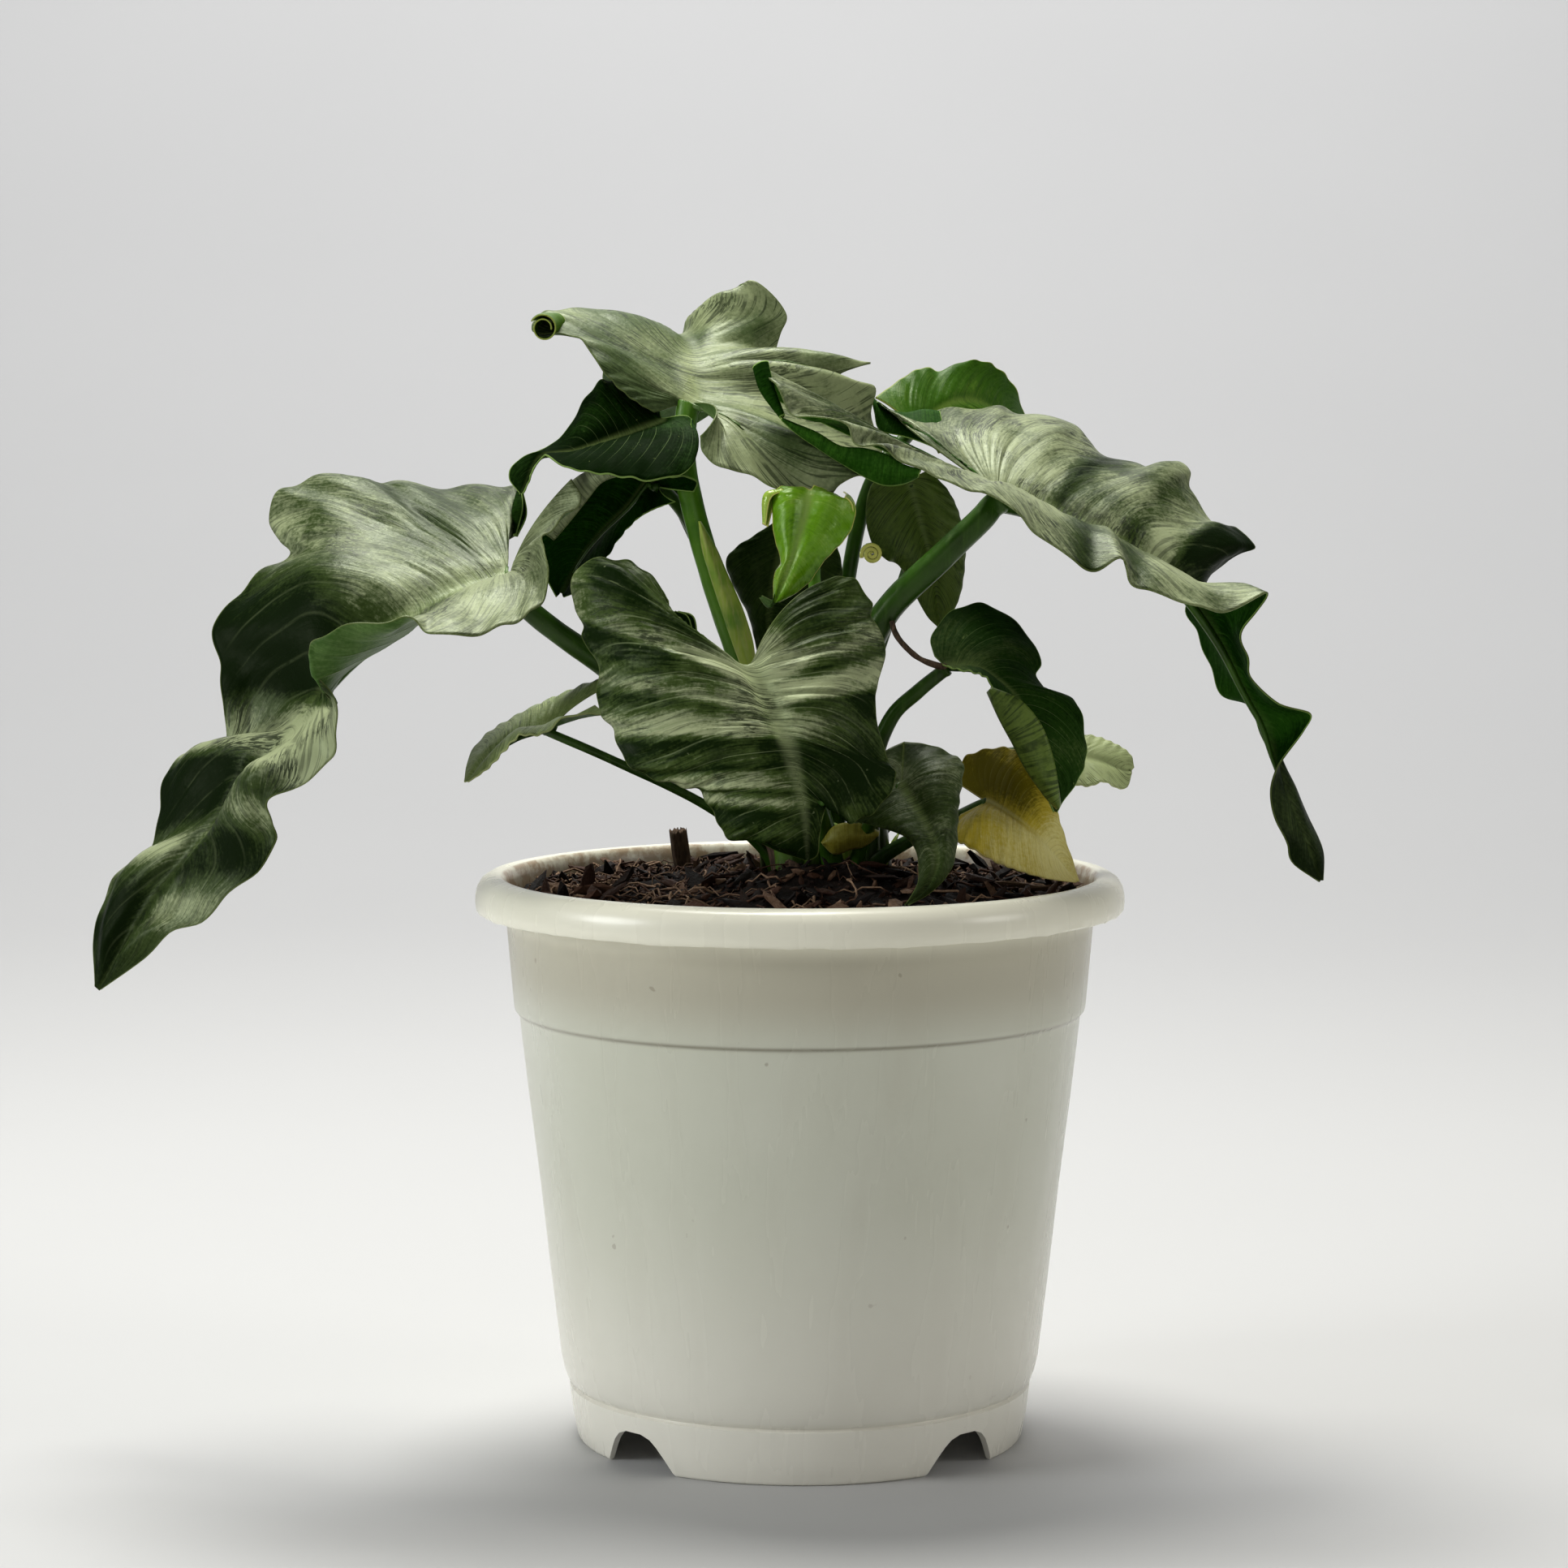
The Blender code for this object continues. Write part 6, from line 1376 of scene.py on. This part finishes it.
def makeChips(kind):
    random.seed(soil["seed"] + kind["count"])
    mesh = bmesh.new()
    layer = mesh.verts.layers.float.new("tone")
    for _ in range(kind["count"]):
        radius = soil["radius"] * math.sqrt(random.random()) * 0.975
        turn = random.uniform(0, 2 * math.pi)
        x, y = radius * math.cos(turn), radius * math.sin(turn)
        length = random.uniform(*kind["length"])
        if radius + length * 0.35 > soil["keepIn"] or not clearOfStalks(x, y):
            continue
        lift = soilHeight(x, y) + 0.25 * length * random.random() ** 2
        tilt = Matrix.Rotation(random.uniform(0, 2 * math.pi), 4, "Z")
        tilt @= Matrix.Rotation(random.gauss(0, 0.5), 4, "Y")
        tilt @= Matrix.Rotation(random.gauss(0, 0.5), 4, "X")
        breadth = length * kind["breadth"] * random.uniform(0.6, 1.3)
        thick = length * kind["thick"] * random.uniform(0.6, 1.4)
        size = Matrix.Diagonal((length / 2 * mm, breadth / 2 * mm, thick / 2 * mm, 1))
        at = Matrix.Translation(place((x, y, lift)))
        verts = bmesh.ops.create_icosphere(mesh, subdivisions=1, radius=1.0)["verts"]
        tone = kind["tone"][0] + (kind["tone"][1] - kind["tone"][0]) * random.random() ** 2
        for vert in verts:
            vert.co *= random.uniform(0.7, 1.25)
            vert.co = at @ tilt @ size @ vert.co
            vert[layer] = tone
    finishPiece(kind["name"], mesh, [barkFinish], smooth=False)


fibres = {"count": 420, "seed": 23, "length": (6, 34), "radius": (0.14, 0.55), "reach": 84,
          "leftShare": 0.3, "keepIn": 86.5, "steps": 7, "tones": (0.45, 0.6, 0.75, 0.9)}


def makeFibres():
    random.seed(fibres["seed"])
    mesh = bmesh.new()
    layer = mesh.verts.layers.float.new("tone")
    for _ in range(fibres["count"]):
        radius = fibres["reach"] * math.sqrt(random.random())
        turn = random.uniform(0, 2 * math.pi)
        if random.random() < fibres["leftShare"]:  # more of them lie at the left wall
            turn = random.gauss(math.pi, 0.6)
            radius = random.uniform(60, fibres["reach"])
        x, y = radius * math.cos(turn), radius * math.sin(turn)
        heading = random.uniform(0, 2 * math.pi)
        length = random.uniform(*fibres["length"])
        thick = random.uniform(*fibres["radius"])
        steps = fibres["steps"]
        line = []
        for k in range(steps):
            line.append((x, y, soilHeight(x, y) + 0.4 + thick
                         + random.uniform(0, 1.5) * math.sin(math.pi * k / (steps - 1)) * 2))
            heading += random.gauss(0, 0.35)
            x += math.cos(heading) * length / steps
            y += math.sin(heading) * length / steps
        if any(math.hypot(a, b) > fibres["keepIn"] or not clearOfStalks(a, b)
               for a, b, c in line):
            continue
        before = len(mesh.verts)
        addTube(mesh, [place(point) for point in line],
                [thick * mm * (1 - 0.5 * k / steps) for k in range(steps)], 4)
        mesh.verts.ensure_lookup_table()
        tone = random.choice(fibres["tones"])
        for vert in list(mesh.verts)[before:]:
            vert[layer] = tone
    finishPiece("fibres", mesh, [barkFinish])


makeSoil()
for kind in chips:
    makeChips(kind)
makeFibres()

woodStick = {"place": (-38.0, 50.0, 176.8), "size": (5.4, 3.8, 13.0), "lean": (4.0, -9.0, 20.0)}


def makeStick():
    # a split piece of wood stuck in the soil, with ragged ends
    mesh = bmesh.new()
    bmesh.ops.create_cube(mesh, size=1.0)
    bmesh.ops.subdivide_edges(mesh, edges=mesh.edges, cuts=9, use_grid_fill=True)
    leanX, leanY, leanZ = (math.radians(degrees) for degrees in woodStick["lean"])
    turn = Matrix.Rotation(leanZ, 4, "Z")
    turn @= Matrix.Rotation(leanY, 4, "Y")
    turn @= Matrix.Rotation(leanX, 4, "X")
    for vert in mesh.verts:
        x, y, z = vert.co
        corner = 1 - 0.12 * (abs(2 * x) * abs(2 * y)) ** 2
        ragged = noise.noise(Vector((x * 7, y * 7, 5))) * 1.6 * max(0.0, z) * 2
        groove = 0.07 * noise.noise(Vector((x * 9, y * 9, z * 1.2)))
        point = Vector((x * corner * (1 + groove) * woodStick["size"][0],
                        y * corner * (1 + groove) * woodStick["size"][1],
                        z * woodStick["size"][2] + ragged))
        vert.co = place(woodStick["place"]) + (turn @ point) * mm
    finishPiece("woodStick", mesh, [dryFinish], "wood_stick")


makeStick()
print("soil made")


def plainFinish(name, colour, roughness):
    tree, shader, material = newMaterial(name, roughness)
    cloud = noiseOf(tree, objectCoords(tree), 3, 2)
    shade = tuple(0.97 * value for value in colour)
    tree.links.new(blendColour(tree, cloud, colour, shade), shader.inputs["Base Color"])
    return material


sweepSize = {"front": -9.0, "curveFrom": 1.2, "curve": 2.4, "top": 7.0, "half": 9.0,
             "floorSteps": 10, "curveSteps": 40, "wallSteps": 10}


def makeFloor():
    # one pale sheet: floor, a wide curve far behind the pot, and a wall
    start, radius = sweepSize["curveFrom"], sweepSize["curve"]
    bendAt = sweepSize["floorSteps"]
    wallAt = bendAt + sweepSize["curveSteps"]
    steps = wallAt + sweepSize["wallSteps"]
    mesh = bmesh.new()
    bmesh.ops.create_grid(mesh, x_segments=1, y_segments=steps, size=1.0)
    for vert in mesh.verts:
        k = round((vert.co.y + 1) / 2 * steps)
        if k < bendAt:
            y, z = sweepSize["front"] + (start - sweepSize["front"]) * k / bendAt, 0
        elif k <= wallAt:
            turn = math.pi / 2 * (k - bendAt) / sweepSize["curveSteps"]
            y, z = start + radius * math.sin(turn), radius * (1 - math.cos(turn))
        else:
            share = (k - wallAt) / sweepSize["wallSteps"]
            y, z = start + radius, radius + (sweepSize["top"] - radius) * share
        vert.co = (vert.co.x * sweepSize["half"], y, z)
    finish = plainFinish("floorPale", (0.56, 0.56, 0.56), 0.75)
    floor = addObject("floor", meshData("floor", mesh, [finish]))


lights = [  # name, place, aim, size, watts, colour
    ("overheadSoftbox", (-0.1, 0.32, 1.3), (0.0, 0.0, 0.25), 0.55, 15, (1.0, 0.99, 0.93)),
    ("leftWindow", (-1.6, -0.6, 0.7), (0.0, 0.0, 0.2), 0.7, 14.2, (0.96, 0.99, 1.0)),
    ("rightStrip", (1.6, -0.5, 0.8), (0.0, 0.0, 0.2), 0.6, 4.5, (1.0, 0.98, 0.92)),
    ("frontFill", (0.2, -2.6, 0.9), (0.0, 0.0, 0.1), 2.2, 5.8, (1.0, 0.975, 0.93)),
    ("wallWash", (0.0, 1.6, 3.4), (0.0, 3.6, 1.2), 2.0, 104, (1.0, 1.0, 1.0)),
]


def makeLights():
    for name, spot, aim, size, watts, colour in lights:
        data = bpy.data.lights.new(name, "AREA")
        data.shape = "DISK"
        data.size = size
        data.energy = watts
        data.color = colour
        lamp = addObject(name, data)
        lamp.location = spot
        lamp.rotation_euler = (Vector(aim) - Vector(spot)).to_track_quat("-Z", "Y").to_euler()
    world = bpy.data.worlds.new("studioGrey")
    world.use_nodes = True
    background = world.node_tree.nodes["Background"]
    background.inputs["Color"].default_value = (0.15, 0.15, 0.15, 1)
    background.inputs["Strength"].default_value = 1.0
    bpy.context.scene.world = world
    bpy.context.scene.view_settings.view_transform = "Standard"


cameraAt = {"lens": 97.25, "sensor": 36.0, "left": 0.0049, "away": 1.3, "height": 0.322,
            "tilt": 5.24}


def makeCamera():
    data = bpy.data.cameras.new("camera")
    data.lens = cameraAt["lens"]
    data.sensor_width = cameraAt["sensor"]
    camera = addObject("camera", data)
    camera.location = (potAxis.x - cameraAt["left"], potAxis.y - cameraAt["away"],
                       cameraAt["height"])
    camera.rotation_euler = (math.radians(90 - cameraAt["tilt"]), 0, 0)
    bpy.context.scene.camera = camera


makeFloor()
makeLights()
makeCamera()
